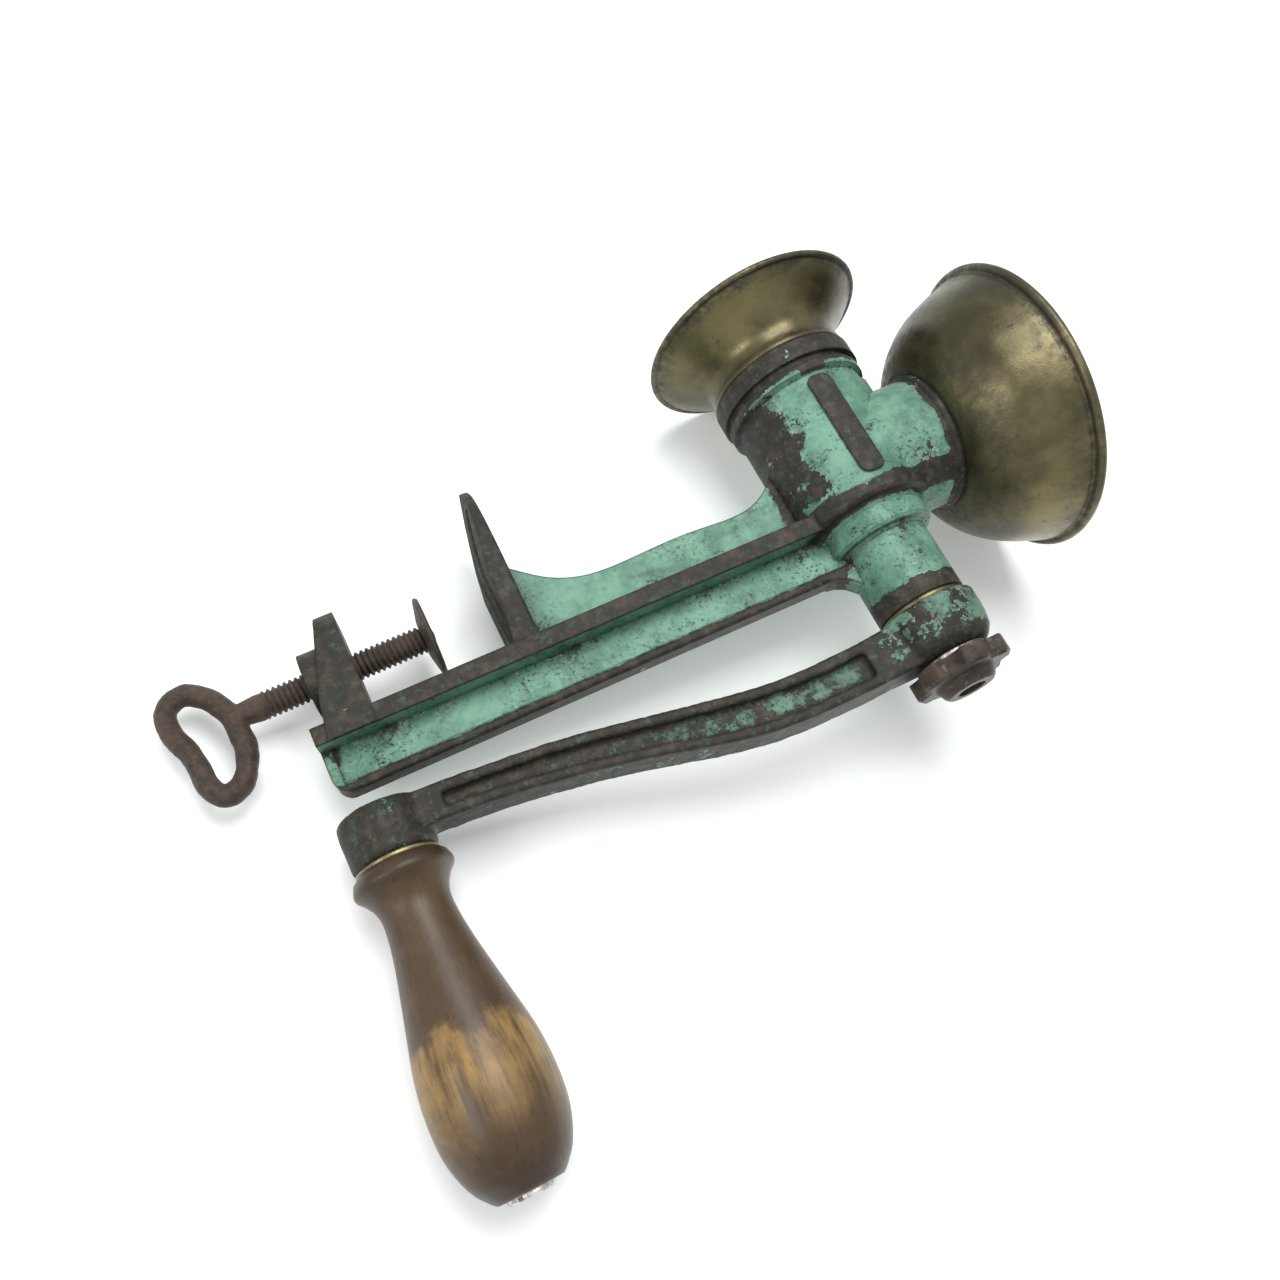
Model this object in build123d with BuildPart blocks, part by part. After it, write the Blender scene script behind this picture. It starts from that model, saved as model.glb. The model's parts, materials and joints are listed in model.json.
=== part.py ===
from build123d import *
from math import atan, cos, pi, sin, sqrt
import os

# Hand cranked table-clamp mill for poppy seed, millimetres.
# X points to the side, +Y to the crank, +Z up the post to the hopper.
# The origin is the point of the fixed jaw's face that the clamp screw presses
# against, so z = 0 is the table top the jaw rests on.

# ---------------------------------------------------------------- clearances
RUN_CLEAR = 0.05      # radial, shaft in its bearing and square in its socket
THREAD_CLEAR = 0.06   # radial, plain stand-in for a working thread
FACE_CLEAR = 0.10     # axial, between faces that turn on each other
GRIP_CLEAR = 0.08     # radial, grip on its spindle

# ---------------------------------------------------------------- main places
SHAFT_Z = 106.0       # shaft above the jaw face
HOPPER_Y = 3.5        # hopper axis behind the clamp screw
CRANK_REACH = 153.0   # shaft to grip axis

SHAFT_CENTRE = (0, HOPPER_Y, SHAFT_Z)
SHAFT_AXIS = Axis(SHAFT_CENTRE, (0, 1, 0))
HOPPER_AXIS = Axis(SHAFT_CENTRE, (0, 0, 1))
GRIP_CENTRE = (0, HOPPER_Y, SHAFT_Z - CRANK_REACH)
GRIP_AXIS = Axis(GRIP_CENTRE, (0, 1, 0))
# side views: local x runs along the shaft from the hopper axis, local y is up
SIDE = Plane(origin=SHAFT_CENTRE, x_dir=(0, 1, 0), z_dir=(1, 0, 0))
GRIP_SIDE = Plane(origin=GRIP_CENTRE, x_dir=(0, 1, 0), z_dir=(1, 0, 0))
SCREW_SIDE = Plane(origin=(0, 0, 0), x_dir=(0, 1, 0), z_dir=(1, 0, 0))

# ---------------------------------------------------------------- barrel
BARREL_R = 19.6
BARREL_FRONT = -34.8
BARREL_REAR = 16.3
COLLAR_R = BARREL_R + 2.1
COLLAR_LEN = 6.0
BEAD_R = BARREL_R + 1.4
BEAD_LEN = 3.4
GROOVE_R = BARREL_R + 0.7
GROOVE_LEN = 1.8
SHOULDER_R = 15.4
SHOULDER_END = 24.0
BOSS_R = 12.5
BOSS_END = 45.0
BARREL_WALL = 4.2
CHAMBER_R = BARREL_R - BARREL_WALL
CHAMBER_REAR = 13.2

PLATE_T = 0.7         # plain raised strip on the barrel's side, left bare
PLATE_LEN = 33.0
PLATE_W = 7.0
PLATE_CORNER_R = 2.6
PLATE_AT = (-6.0, 0.8)

# ---------------------------------------------------------------- hopper neck
NECK_R = 19.0
NECK_TOP = 28.3
NECK_RING_R = 20.0
NECK_RING_LEN = 2.2
THROAT_R = 12.4
CROWN_HALF = 8.6      # half width of the crown between barrel and neck
CROWN_TOP = BARREL_R - 0.9
CROWN_FRONT = -21.4
CROWN_REAR = 14.8

# ---------------------------------------------------------------- post
POST_FOOT = -160.2    # underside of the post below the shaft
WEB_T = 4.6
FLANGE_FRONT = 11.3
FLANGE_REAR = 16.3
FLANGE_HALF = 9.5
WEB_REAR = 28.6
EDGE_BEAD_T = 7.0
EDGE_BEAD_DEPTH = 2.8
ROOT_FILLET = 2.6
FRONT_WEB = -1.0      # front edge of the web between jaw and barrel
POST_CORNER_R = 5.0

# ---------------------------------------------------------------- jaw and foot
JAW_FACE = -SHAFT_Z
JAW_T = 8.0
JAW_HALF = 12.8
JAW_TIP = -38.4
JAW_UNDER = [         # underside of the jaw: level at the root, rising to the tip
    (11.0, 0.0), (-9.0, 0.0), (-18.0, 1.2), (-27.0, 2.9), (-34.0, 4.5), (-40.0, 6.0),
]
JAW_FLAT_HALF = 7.0   # level middle of the underside, the sides rise from it
JAW_SIDE_RISE = 0.5   # rise of the sides for each millimetre outwards
JAW_PLAN = [          # half width of the leaf-shaped jaw and station, from post to tip
    (FLANGE_HALF - 0.4, FLANGE_FRONT), (JAW_HALF - 1.6, 2.0), (JAW_HALF - 0.4, -8.0),
    (JAW_HALF, -17.0), (JAW_HALF - 0.8, -25.5), (JAW_HALF - 3.2, JAW_TIP + 6.0),
    (JAW_HALF - 7.4, JAW_TIP + 1.5), (0.0, JAW_TIP),
]
JAW_GROOVES = 8
JAW_GROOVE_PITCH = 2.7
JAW_GROOVE_DEPTH = 0.8
JAW_GROOVE_W = 1.3
JAW_RIB_MARGIN = 0.6  # plain margin outside the outer grooves
FOOT_TOP = -144.2
FOOT_TIP = -20.0
FOOT_TIP_T = 5.4
FOOT_ROUND = 1.8
FOOT_HALF = 10.0
FOOT_BOSS_R = 8.6
FOOT_BOSS_LOW = -157.0

# ---------------------------------------------------------------- clamp screw
THREAD_R = 3.75
THREAD_PITCH = 1.5
THREAD_DEPTH = 0.7
PAD_TOP = -18.0       # top of the pad below the jaw face
PAD_R = 11.1
PAD_T = 1.4
PAD_DISH = 1.2
SPIGOT_R = 2.1        # end of the screw that the pad turns on
PAD_BORE_R = SPIGOT_R + THREAD_CLEAR
RIVET_R = 3.6
RIVET_H = 1.9
RIVET_SEAT = PAD_TOP + FACE_CLEAR
THREAD_END = -62.0
SHANK_R = 3.7
SHANK_NECK_R = 3.0
SHANK_END = -69.0
SHANK_LOW = -71.4
LOOP_ROD_R = 2.9
SCREW_BORE_R = THREAD_R + THREAD_CLEAR

# ---------------------------------------------------------------- shaft line
SHAFT_R = 6.0
BEARING_R = SHAFT_R + RUN_CLEAR
WORM_SEAT_R = 5.0
CONE_SEAT = 7.4       # across the flats of the square under the cone
HUB_SEAT = 8.5        # across the flats of the square in the crank
END_THREAD_R = 4.0
SHAFT_FRONT = -39.6
CONE_SEAT_FRONT = -31.2
WORM_FRONT = -17.5
WORM_REAR = 11.0
SQUARE_START = 45.0
SQUARE_END = 59.6
SHAFT_REAR = 69.4
WORM_CORE_R = 7.2
WORM_R = CHAMBER_R - 1.0
WORM_PITCH = 13.0
WORM_FLIGHT_T = 2.6
WORM_PIN_R = 1.5
WORM_PIN_AT = 6.6

# ---------------------------------------------------------------- grinding
RING_WALL = 1.9       # barrel wall round the grinding ring
RING_R = BARREL_R - RING_WALL
RING_REAR = -20.0
RING_FRONT = -30.2
RING_MOUTH_R = RING_R - 2.0
RING_THROAT_R = RING_R - 5.6
CONE_GAP = 0.65       # radial, cone to ring as set in the photograph
CONE_FRONT = -31.2
CONE_REAR = -18.6
RING_TEETH = 24
CONE_TEETH = 20
TOOTH_DEPTH = 0.9
KEY_PIN_R = 1.5
KEY_PIN_LEN = 8.0
NUT_FLATS = 13.0
NUT_T = 5.6
CONE_WASHER_R = 7.6
CONE_WASHER_T = 1.2

# ---------------------------------------------------------------- brass
SHEET = 1.0
SLEEVE_R = RING_R
SLEEVE_REAR = -30.4
FLARE_SEAT_T = 1.0
FLARE_RIM_R = 33.9
FLARE_RIM_Y = -53.2
FLARE_ROLL_R = 0.95
BOWL_ROOT_R = 21.4
BOWL_RIM_R = 42.9
BOWL_RIM_Z = 55.6
BOWL_ROLL_R = 1.35
BOWL_SCREWS = 3
BOWL_SCREW_PCD_R = 15.8
BOWL_SCREW_R = 1.25
BOWL_SCREW_LEN = 6.0
BOWL_SCREW_HEAD_R = 2.3
BOWL_SCREW_HEAD_T = 1.3

# ---------------------------------------------------------------- crank
THRUST_T = 1.2
THRUST_R = 12.0
HUB_FACE = 46.3
HUB_END = 61.0
HUB_R = 14.0
ARM_HALF = 6.2
ARM_WEB_HALF = 3.4
ARM_RIM = 3.0
GRIP_BOSS_R = 11.2
GRIP_BOSS_IN = 35.0
GRIP_BOSS_OUT = 49.0
NUT_WASHER_T = 1.2
NUT_WASHER_R = 9.5
STAR_R = 13.8
STAR_LOBES = 6
STAR_BODY_END = 67.6
STAR_HUB_R = 7.4
STAR_END = 70.9

# ---------------------------------------------------------------- grip
SPINDLE_R = 3.5
SPINDLE_IN = 36.2
GRIP_BORE_R = SPINDLE_R + GRIP_CLEAR
SPINDLE_HEAD_R = 6.2
SPINDLE_HEAD_T = 2.2
SPINDLE_END = 131.2
GRIP_WASHER_R = 10.8
GRIP_WASHER_T = 0.9
GRIP_START = GRIP_BOSS_OUT + GRIP_WASHER_T + FACE_CLEAR
GRIP_END = 130.0
GRIP_RECESS_R = SPINDLE_HEAD_R + 0.5
GRIP_RECESS = 2.6

os.makedirs("parts", exist_ok=True)


def outline(plane, points):
    """Closed straight-sided face on a plane."""
    with BuildSketch(plane) as face:
        with BuildLine():
            Polyline(*points, close=True)
        make_face()
    return face.sketch


def smooth_outline(plane, curve, ends):
    """Face between a spline through the curve points and a chain of ends."""
    with BuildSketch(plane) as face:
        with BuildLine():
            Spline(*curve)
            Polyline(curve[-1], *ends, curve[0])
        make_face()
    return face.sketch


def annulus(inner, outer, start, end):
    """Half section of a plain ring, from start to end along its axis."""
    return [(start, inner), (end, inner), (end, outer), (start, outer)]


def along_shaft(y):
    """Plane square to the shaft at station y, local y up."""
    return Plane(origin=(0, HOPPER_Y + y, SHAFT_Z), x_dir=(-1, 0, 0), z_dir=(0, 1, 0))


def deck(z):
    """Level plane at height z from the shaft, local y to the crank."""
    return Plane(origin=(0, HOPPER_Y, SHAFT_Z + z))


def side_at(x):
    """Side view plane moved sideways by x."""
    return Plane(origin=(x, HOPPER_Y, SHAFT_Z), x_dir=(0, 1, 0), z_dir=(1, 0, 0))


def jaw_side(y, rise, side):
    """Section at station y of what is cut off under one side of the jaw."""
    reach = JAW_HALF + 1
    low = JAW_FACE - 3
    inner = side * JAW_FLAT_HALF
    slant = (reach - JAW_FLAT_HALF) * JAW_SIDE_RISE
    return outline(
        along_shaft(y),
        [(inner, JAW_FACE + rise), (side * reach, JAW_FACE + rise + slant), (side * reach, low),
         (inner, low)],
    )


def jaw_rise(y):
    """Rise of the jaw's underside at station y."""
    for (y1, rise1), (y2, rise2) in zip(JAW_UNDER, JAW_UNDER[1:]):
        if y2 <= y <= y1:
            return rise1 + (rise2 - rise1) * (y1 - y) / (y1 - y2)
    return JAW_UNDER[0][1]


def jaw_run(half):
    """Front and rear stations between which the jaw is wider than half to each side."""
    ends = [
        y1 + (y2 - y1) * (half - w1) / (w2 - w1)
        for (w1, y1), (w2, y2) in zip(JAW_PLAN, JAW_PLAN[1:]) if (w1 - half) * (w2 - half) < 0
    ]
    return min(ends), max(ends) if len(ends) > 1 else FLANGE_FRONT - 3.0


def ring_radius(y):
    """Radius of the grinding ring's tapered hole at station y."""
    slope = (RING_MOUTH_R - RING_THROAT_R) / (RING_REAR - RING_FRONT)
    return RING_MOUTH_R - slope * (y - RING_FRONT)


# ================================================================ casting
collar_end = BARREL_FRONT + COLLAR_LEN
groove_end = collar_end + GROOVE_LEN
bead_end = groove_end + BEAD_LEN
barrel_section = [
    (BARREL_FRONT, 0), (BARREL_FRONT, COLLAR_R - 0.6), (BARREL_FRONT + 0.6, COLLAR_R),
    (collar_end, COLLAR_R), (collar_end, GROOVE_R), (groove_end, GROOVE_R),
    (groove_end, BEAD_R), (bead_end - 0.8, BEAD_R), (bead_end, BARREL_R),
    (BARREL_REAR - 0.8, BARREL_R), (BARREL_REAR, BARREL_R - 0.8),
    (BARREL_REAR, SHOULDER_R + 1.2), (BARREL_REAR + 1.6, SHOULDER_R),
    (SHOULDER_END - 0.8, SHOULDER_R), (SHOULDER_END, SHOULDER_R - 0.8),
    (SHOULDER_END, BOSS_R + 0.8), (SHOULDER_END + 0.8, BOSS_R),
    (BOSS_END, BOSS_R), (BOSS_END, 0),
]
# crown: flat top with sides that run down tangent to the barrel
crown_reach = sqrt(CROWN_HALF ** 2 + CROWN_TOP ** 2)
crown_turn = atan(CROWN_HALF / CROWN_TOP)
tangent_turn = crown_turn + (pi / 2 - atan(BARREL_R / sqrt(crown_reach ** 2 - BARREL_R ** 2)))
tangent_x = BARREL_R * sin(tangent_turn)
tangent_z = BARREL_R * cos(tangent_turn)

# raised strip that follows the side of the barrel
strip_face = SIDE * Pos(*PLATE_AT) * RectangleRounded(PLATE_LEN, PLATE_W, PLATE_CORNER_R)
strip_skin = annulus(BARREL_R - 1, BARREL_R + PLATE_T, bead_end, BARREL_REAR)
raised_strip = extrude(strip_face, amount=BARREL_R + PLATE_T + 1)
raised_strip = raised_strip & revolve(outline(SIDE, strip_skin), axis=SHAFT_AXIS)

with BuildPart() as frame_casting:
    # foot: a tapering tongue with a rounded tip
    with BuildSketch(deck(FOOT_BOSS_LOW)):
        with Locations((0, FOOT_TIP + FOOT_HALF)):
            Circle(FOOT_HALF)
        with Locations((0, (FLANGE_REAR + FOOT_TIP + FOOT_HALF) / 2)):
            Rectangle(2 * FOOT_HALF, FLANGE_REAR - FOOT_TIP - FOOT_HALF)
    extrude(amount=FOOT_TOP - FOOT_BOSS_LOW)
    foot_profile = outline(
        SIDE,
        [(FOOT_TIP + FOOT_ROUND, FOOT_TOP), (FOOT_TIP + 0.3 * FOOT_ROUND, FOOT_TOP - 0.4),
         (FOOT_TIP, FOOT_TOP - FOOT_ROUND), (FOOT_TIP, FOOT_TOP - FOOT_TIP_T + FOOT_ROUND),
         (FOOT_TIP + 0.4 * FOOT_ROUND, FOOT_TOP - FOOT_TIP_T + 0.3),
         (-HOPPER_Y - FOOT_BOSS_R - 1.2, FOOT_TOP - FOOT_TIP_T - 0.6), (6.0, FOOT_BOSS_LOW + 1.6),
         (FLANGE_REAR, FOOT_BOSS_LOW), (FLANGE_REAR, FOOT_TOP)],
    )
    extrude(foot_profile, amount=FOOT_HALF + 1, both=True, mode=Mode.INTERSECT)
    with BuildSketch(Plane.XY.offset(SHAFT_Z + FOOT_BOSS_LOW)):
        Circle(FOOT_BOSS_R)
    extrude(amount=FOOT_TOP - FOOT_BOSS_LOW)

    # post: flange across, web behind with a bead along its rear edge
    with BuildSketch(deck(POST_FOOT)) as post_section:
        with Locations((0, (FLANGE_FRONT + FLANGE_REAR) / 2)):
            Rectangle(2 * FLANGE_HALF, FLANGE_REAR - FLANGE_FRONT)
        with Locations((0, (FLANGE_REAR + WEB_REAR) / 2)):
            Rectangle(WEB_T, WEB_REAR - FLANGE_REAR)
        inner_corners = [
            v for v in post_section.vertices()
            if abs(abs(v.X) - WEB_T / 2) < 0.01 and abs(v.Y - HOPPER_Y - FLANGE_REAR) < 0.01
        ]
        fillet(inner_corners, radius=ROOT_FILLET)
        with Locations((0, WEB_REAR - EDGE_BEAD_DEPTH / 2)):
            RectangleRounded(EDGE_BEAD_T, EDGE_BEAD_DEPTH, 1.2)
    extrude(amount=-POST_FOOT - 8.0)
    # the bead turns round the foot of the web
    with BuildSketch(SIDE):
        with Locations(((FLANGE_REAR + WEB_REAR) / 2, POST_FOOT + EDGE_BEAD_DEPTH / 2)):
            Rectangle(WEB_REAR - FLANGE_REAR, EDGE_BEAD_DEPTH)
    extrude(amount=EDGE_BEAD_T / 2, both=True)
    with BuildSketch(SIDE):
        with Locations((WEB_REAR - POST_CORNER_R, POST_FOOT + POST_CORNER_R)):
            Circle(3 * POST_CORNER_R)
            Circle(POST_CORNER_R, mode=Mode.SUBTRACT)
        with Locations((WEB_REAR, POST_FOOT)):
            Rectangle(2 * POST_CORNER_R, 2 * POST_CORNER_R, mode=Mode.INTERSECT)
    extrude(amount=FLANGE_HALF, both=True, mode=Mode.SUBTRACT)

    # web in front of the flange, from the jaw up to the barrel
    front_edge = [
        (-13.5, JAW_FACE + JAW_T - 0.5), (-10.8, JAW_FACE + JAW_T + 2.6), (-6.0, -89.6),
        (-1.8, -80.0), (FRONT_WEB, -66.0), (FRONT_WEB - 0.2, -46.0), (FRONT_WEB - 0.8, -27.0),
        (-5.6, -21.2), (-12.0, -17.2),
    ]
    front_web = smooth_outline(
        SIDE, front_edge,
        [(FLANGE_FRONT + 1, -10.0), (FLANGE_FRONT + 1, JAW_FACE + JAW_T - 0.5)],
    )
    extrude(front_web, amount=WEB_T / 2, both=True)
    with BuildSketch(deck(JAW_FACE + 1)):
        with BuildLine():
            Polyline(
                (-WEB_T / 2 - ROOT_FILLET, FLANGE_FRONT + 0.5),
                (-WEB_T / 2 - ROOT_FILLET, FLANGE_FRONT),
                (-WEB_T / 2 - 0.8, FLANGE_FRONT - 0.8),
                (-WEB_T / 2, FLANGE_FRONT - ROOT_FILLET),
                (WEB_T / 2, FLANGE_FRONT - ROOT_FILLET),
                (WEB_T / 2 + 0.8, FLANGE_FRONT - 0.8),
                (WEB_T / 2 + ROOT_FILLET, FLANGE_FRONT),
                (WEB_T / 2 + ROOT_FILLET, FLANGE_FRONT + 0.5),
                close=True,
            )
        make_face()
    extrude(amount=-JAW_FACE - 16.0)

    # fixed jaw: a broad tongue, ribbed underneath
    far_side = [(-w, y) for w, y in reversed(JAW_PLAN[:-1])]
    root = [(-JAW_PLAN[0][0], FLANGE_REAR - 1), (JAW_PLAN[0][0], FLANGE_REAR - 1)]
    extrude(smooth_outline(deck(JAW_FACE), JAW_PLAN + far_side, root), amount=JAW_T)
    jaw_top = frame_casting.faces().filter_by(Axis.Z).sort_by_distance(
        (0, HOPPER_Y + JAW_TIP + 4, SHAFT_Z + JAW_FACE + JAW_T))[0]
    fillet(jaw_top.edges().filter_by(GeomType.BSPLINE), radius=1.2)
    under = [(y, JAW_FACE + rise) for y, rise in JAW_UNDER]
    below = outline(SIDE, under + [(under[-1][0], JAW_FACE - 3), (under[0][0], JAW_FACE - 3)])
    extrude(below, amount=JAW_HALF + 1, both=True, mode=Mode.SUBTRACT)
    for side in (-1, 1):
        for near, far in zip(JAW_UNDER, JAW_UNDER[1:]):
            wedge = loft([jaw_side(*near, side), jaw_side(*far, side)], ruled=True)
            add(wedge, mode=Mode.SUBTRACT)

    # barrel, shoulder and bearing boss in one turned body
    revolve(outline(SIDE, barrel_section), axis=SHAFT_AXIS)
    crown_points = [
        (-CROWN_HALF, CROWN_TOP), (CROWN_HALF, CROWN_TOP), (tangent_x, tangent_z),
        (0, 0), (-tangent_x, tangent_z),
    ]
    extrude(outline(along_shaft(CROWN_FRONT), crown_points), amount=CROWN_REAR - CROWN_FRONT)
    neck_section = [
        (0, 2), (NECK_R, 2), (NECK_R, NECK_TOP - NECK_RING_LEN),
        (NECK_RING_R, NECK_TOP - NECK_RING_LEN + 0.8), (NECK_RING_R, NECK_TOP), (0, NECK_TOP),
    ]
    neck_plane = Plane(origin=SHAFT_CENTRE, x_dir=(1, 0, 0), z_dir=(0, -1, 0))
    revolve(outline(neck_plane, neck_section), axis=HOPPER_AXIS)

    add(raised_strip)

    # gusset between the rear web and the bearing boss
    gusset = outline(
        SIDE,
        [(WEB_REAR - 2, -8), (WEB_REAR - 2, -21), (WEB_REAR, -20),
         (WEB_REAR + 0.5, -17.4), (WEB_REAR + 1.8, -14.8), (WEB_REAR + 4.6, -12.0),
         (WEB_REAR + 4.6, -8)],
    )
    extrude(gusset, amount=EDGE_BEAD_T / 2, both=True)

    # hollows
    chamber_section = [
        (CHAMBER_REAR, 0), (CHAMBER_REAR, CHAMBER_R), (RING_REAR, CHAMBER_R),
        (RING_REAR, RING_R), (BARREL_FRONT, RING_R), (BARREL_FRONT, 0),
    ]
    revolve(outline(SIDE, chamber_section), axis=SHAFT_AXIS, mode=Mode.SUBTRACT)
    revolve(outline(SIDE, annulus(0, BEARING_R, CHAMBER_REAR, BOSS_END)),
            axis=SHAFT_AXIS, mode=Mode.SUBTRACT)
    with BuildSketch(deck(NECK_TOP)):
        Circle(THROAT_R)
    extrude(amount=-(NECK_TOP - 6), mode=Mode.SUBTRACT)
    with BuildSketch(deck(NECK_TOP)):
        with PolarLocations(BOWL_SCREW_PCD_R, BOWL_SCREWS, start_angle=90):
            Circle(BOWL_SCREW_R)
    extrude(amount=-BOWL_SCREW_LEN, mode=Mode.SUBTRACT)
    with BuildSketch(Plane.XY.offset(SHAFT_Z + FOOT_BOSS_LOW)):
        Circle(SCREW_BORE_R)
    extrude(amount=FOOT_TOP - FOOT_BOSS_LOW, mode=Mode.SUBTRACT)
    # half round seat for the pin that keys the grinding ring
    with BuildSketch(along_shaft(RING_FRONT)):
        with Locations((0, -RING_R)):
            Circle(KEY_PIN_R)
    extrude(amount=KEY_PIN_LEN, mode=Mode.SUBTRACT)
    # ribs under the jaw, which end where it narrows
    rib_row = JAW_GROOVE_PITCH * (JAW_GROOVES - 1) / 2
    for row in range(JAW_GROOVES):
        across = row * JAW_GROOVE_PITCH - rib_row
        lift = JAW_FACE + JAW_SIDE_RISE * max(0.0, abs(across) - JAW_FLAT_HALF)
        front, rear = jaw_run(abs(across) + JAW_GROOVE_W / 2 + JAW_RIB_MARGIN)
        stations = [rear] + [y for y, rise in JAW_UNDER if front < y < rear] + [front]
        roof = [(y, lift + jaw_rise(y) + JAW_GROOVE_DEPTH) for y in stations]
        floor = [(y, lift + jaw_rise(y) - 1.5) for y in reversed(stations)]
        groove = outline(side_at(across - JAW_GROOVE_W / 2), roof + floor)
        extrude(groove, amount=JAW_GROOVE_W, mode=Mode.SUBTRACT)
frame_casting.part.label = "frame_casting"
export_step(frame_casting.part, "parts/frame_casting.step")

# ================================================================ brass bowl
# share of the way out from root to rim, and height over the shaft
bowl_shape = [
    (0.0, NECK_TOP), (0.2255, 29.9), (0.4314, 33.2), (0.5784, 36.6), (0.6961, 40.2),
    (0.7941, 44.6), (0.8824, 49.2), (0.9657, 53.4), (1.0, BOWL_RIM_Z),
]
bowl_spread = BOWL_RIM_R - 1.1 - BOWL_ROOT_R
bowl_skin = [(BOWL_ROOT_R + share * bowl_spread, z) for share, z in bowl_shape]
bowl_lining = [(r - SHEET * 0.95, z + SHEET * 0.55) for r, z in bowl_skin]
bowl_lining[0] = (BOWL_ROOT_R - 0.5, NECK_TOP + SHEET)
bowl_lining[-1] = (BOWL_RIM_R - 1.1 - SHEET, BOWL_RIM_Z + 0.2)
bowl_plane = Plane(origin=SHAFT_CENTRE, x_dir=(1, 0, 0), z_dir=(0, -1, 0))
with BuildPart() as hopper_bowl:
    with BuildSketch(bowl_plane):
        with BuildLine():
            Spline(*bowl_skin)
            Line(bowl_skin[-1], bowl_lining[-1])
            Spline(*reversed(bowl_lining))
            Polyline(bowl_lining[0], (THROAT_R, NECK_TOP + SHEET), (THROAT_R, NECK_TOP),
                     bowl_skin[0])
        make_face()
    revolve(axis=HOPPER_AXIS)
    with BuildSketch(bowl_plane):
        with Locations((BOWL_RIM_R - BOWL_ROLL_R, BOWL_RIM_Z)):
            Circle(BOWL_ROLL_R)
    revolve(axis=HOPPER_AXIS)
    with BuildSketch(deck(NECK_TOP)):
        with PolarLocations(BOWL_SCREW_PCD_R, BOWL_SCREWS, start_angle=90):
            Circle(BOWL_SCREW_R)
    extrude(amount=SHEET, mode=Mode.SUBTRACT)
hopper_bowl.part.label = "hopper_bowl"
export_step(hopper_bowl.part, "parts/hopper_bowl.step")

with BuildPart() as bowl_screw:
    with BuildSketch(deck(NECK_TOP - BOWL_SCREW_LEN)):
        with PolarLocations(BOWL_SCREW_PCD_R, BOWL_SCREWS, start_angle=90):
            Circle(BOWL_SCREW_R)
    extrude(amount=BOWL_SCREW_LEN + SHEET)
    with BuildSketch(deck(NECK_TOP + SHEET)):
        with PolarLocations(BOWL_SCREW_PCD_R, BOWL_SCREWS, start_angle=90):
            Circle(BOWL_SCREW_HEAD_R)
    extrude(amount=BOWL_SCREW_HEAD_T)
    head_rims = bowl_screw.edges().filter_by(GeomType.CIRCLE).group_by(Axis.Z)[-1]
    fillet(head_rims, radius=0.6)
    with BuildSketch(deck(NECK_TOP + SHEET + BOWL_SCREW_HEAD_T)):
        with PolarLocations(BOWL_SCREW_PCD_R, BOWL_SCREWS, start_angle=90):
            Rectangle(0.7, 2 * BOWL_SCREW_HEAD_R + 1)
    extrude(amount=-0.6, mode=Mode.SUBTRACT)
bowl_screw.part.label = "bowl_screw"
export_step(bowl_screw.part, "parts/bowl_screw.step")

# ================================================================ outlet
flare_skin = [
    (BARREL_FRONT - FLARE_SEAT_T, 21.3), (-38.0, 20.9), (-41.0, 21.4), (-44.0, 23.2),
    (-47.0, 26.1), (-50.0, 29.7), (FLARE_RIM_Y, FLARE_RIM_R - 0.7),
]
flare_lining = [(y + 0.15, r - SHEET) for y, r in flare_skin]
flare_lining[0] = (BARREL_FRONT - FLARE_SEAT_T, 20.2)
flare_lining[-1] = (FLARE_RIM_Y, FLARE_RIM_R - 0.7 - SHEET * 1.2)
with BuildPart() as outlet_cone:
    with BuildSketch(SIDE):
        with BuildLine():
            Spline(*flare_skin)
            Line(flare_skin[-1], flare_lining[-1])
            Spline(*reversed(flare_lining))
            Polyline(
                flare_lining[0], (BARREL_FRONT - FLARE_SEAT_T, SLEEVE_R - SHEET),
                (SLEEVE_REAR, SLEEVE_R - SHEET), (SLEEVE_REAR, SLEEVE_R),
                (BARREL_FRONT, SLEEVE_R), (BARREL_FRONT, 21.3), flare_skin[0],
            )
        make_face()
    revolve(axis=SHAFT_AXIS)
    with BuildSketch(SIDE):
        with Locations((FLARE_RIM_Y, FLARE_RIM_R - FLARE_ROLL_R)):
            Circle(FLARE_ROLL_R)
    revolve(axis=SHAFT_AXIS)
outlet_cone.part.label = "outlet_cone"
export_step(outlet_cone.part, "parts/outlet_cone.step")

# ================================================================ grinding set
with BuildPart() as grinding_ring:
    ring_section = [
        (RING_FRONT, RING_MOUTH_R), (RING_REAR, RING_THROAT_R),
        (RING_REAR, RING_R), (RING_FRONT, RING_R),
    ]
    revolve(outline(SIDE, ring_section), axis=SHAFT_AXIS)
    with BuildSketch(along_shaft(RING_FRONT)):
        with PolarLocations(RING_MOUTH_R, RING_TEETH):
            Rectangle(1.2, 2 * TOOTH_DEPTH, rotation=45)
    extrude(amount=RING_REAR - RING_FRONT, mode=Mode.SUBTRACT)
    with BuildSketch(along_shaft(RING_FRONT)):
        with Locations((0, -RING_R)):
            Circle(KEY_PIN_R)
    extrude(amount=KEY_PIN_LEN, mode=Mode.SUBTRACT)
grinding_ring.part.label = "grinding_ring"
export_step(grinding_ring.part, "parts/grinding_ring.step")

with BuildPart() as ring_pin:
    with BuildSketch(along_shaft(RING_FRONT)):
        with Locations((0, -RING_R)):
            Circle(KEY_PIN_R)
    extrude(amount=KEY_PIN_LEN)
ring_pin.part.label = "ring_pin"
export_step(ring_pin.part, "parts/ring_pin.step")

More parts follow.
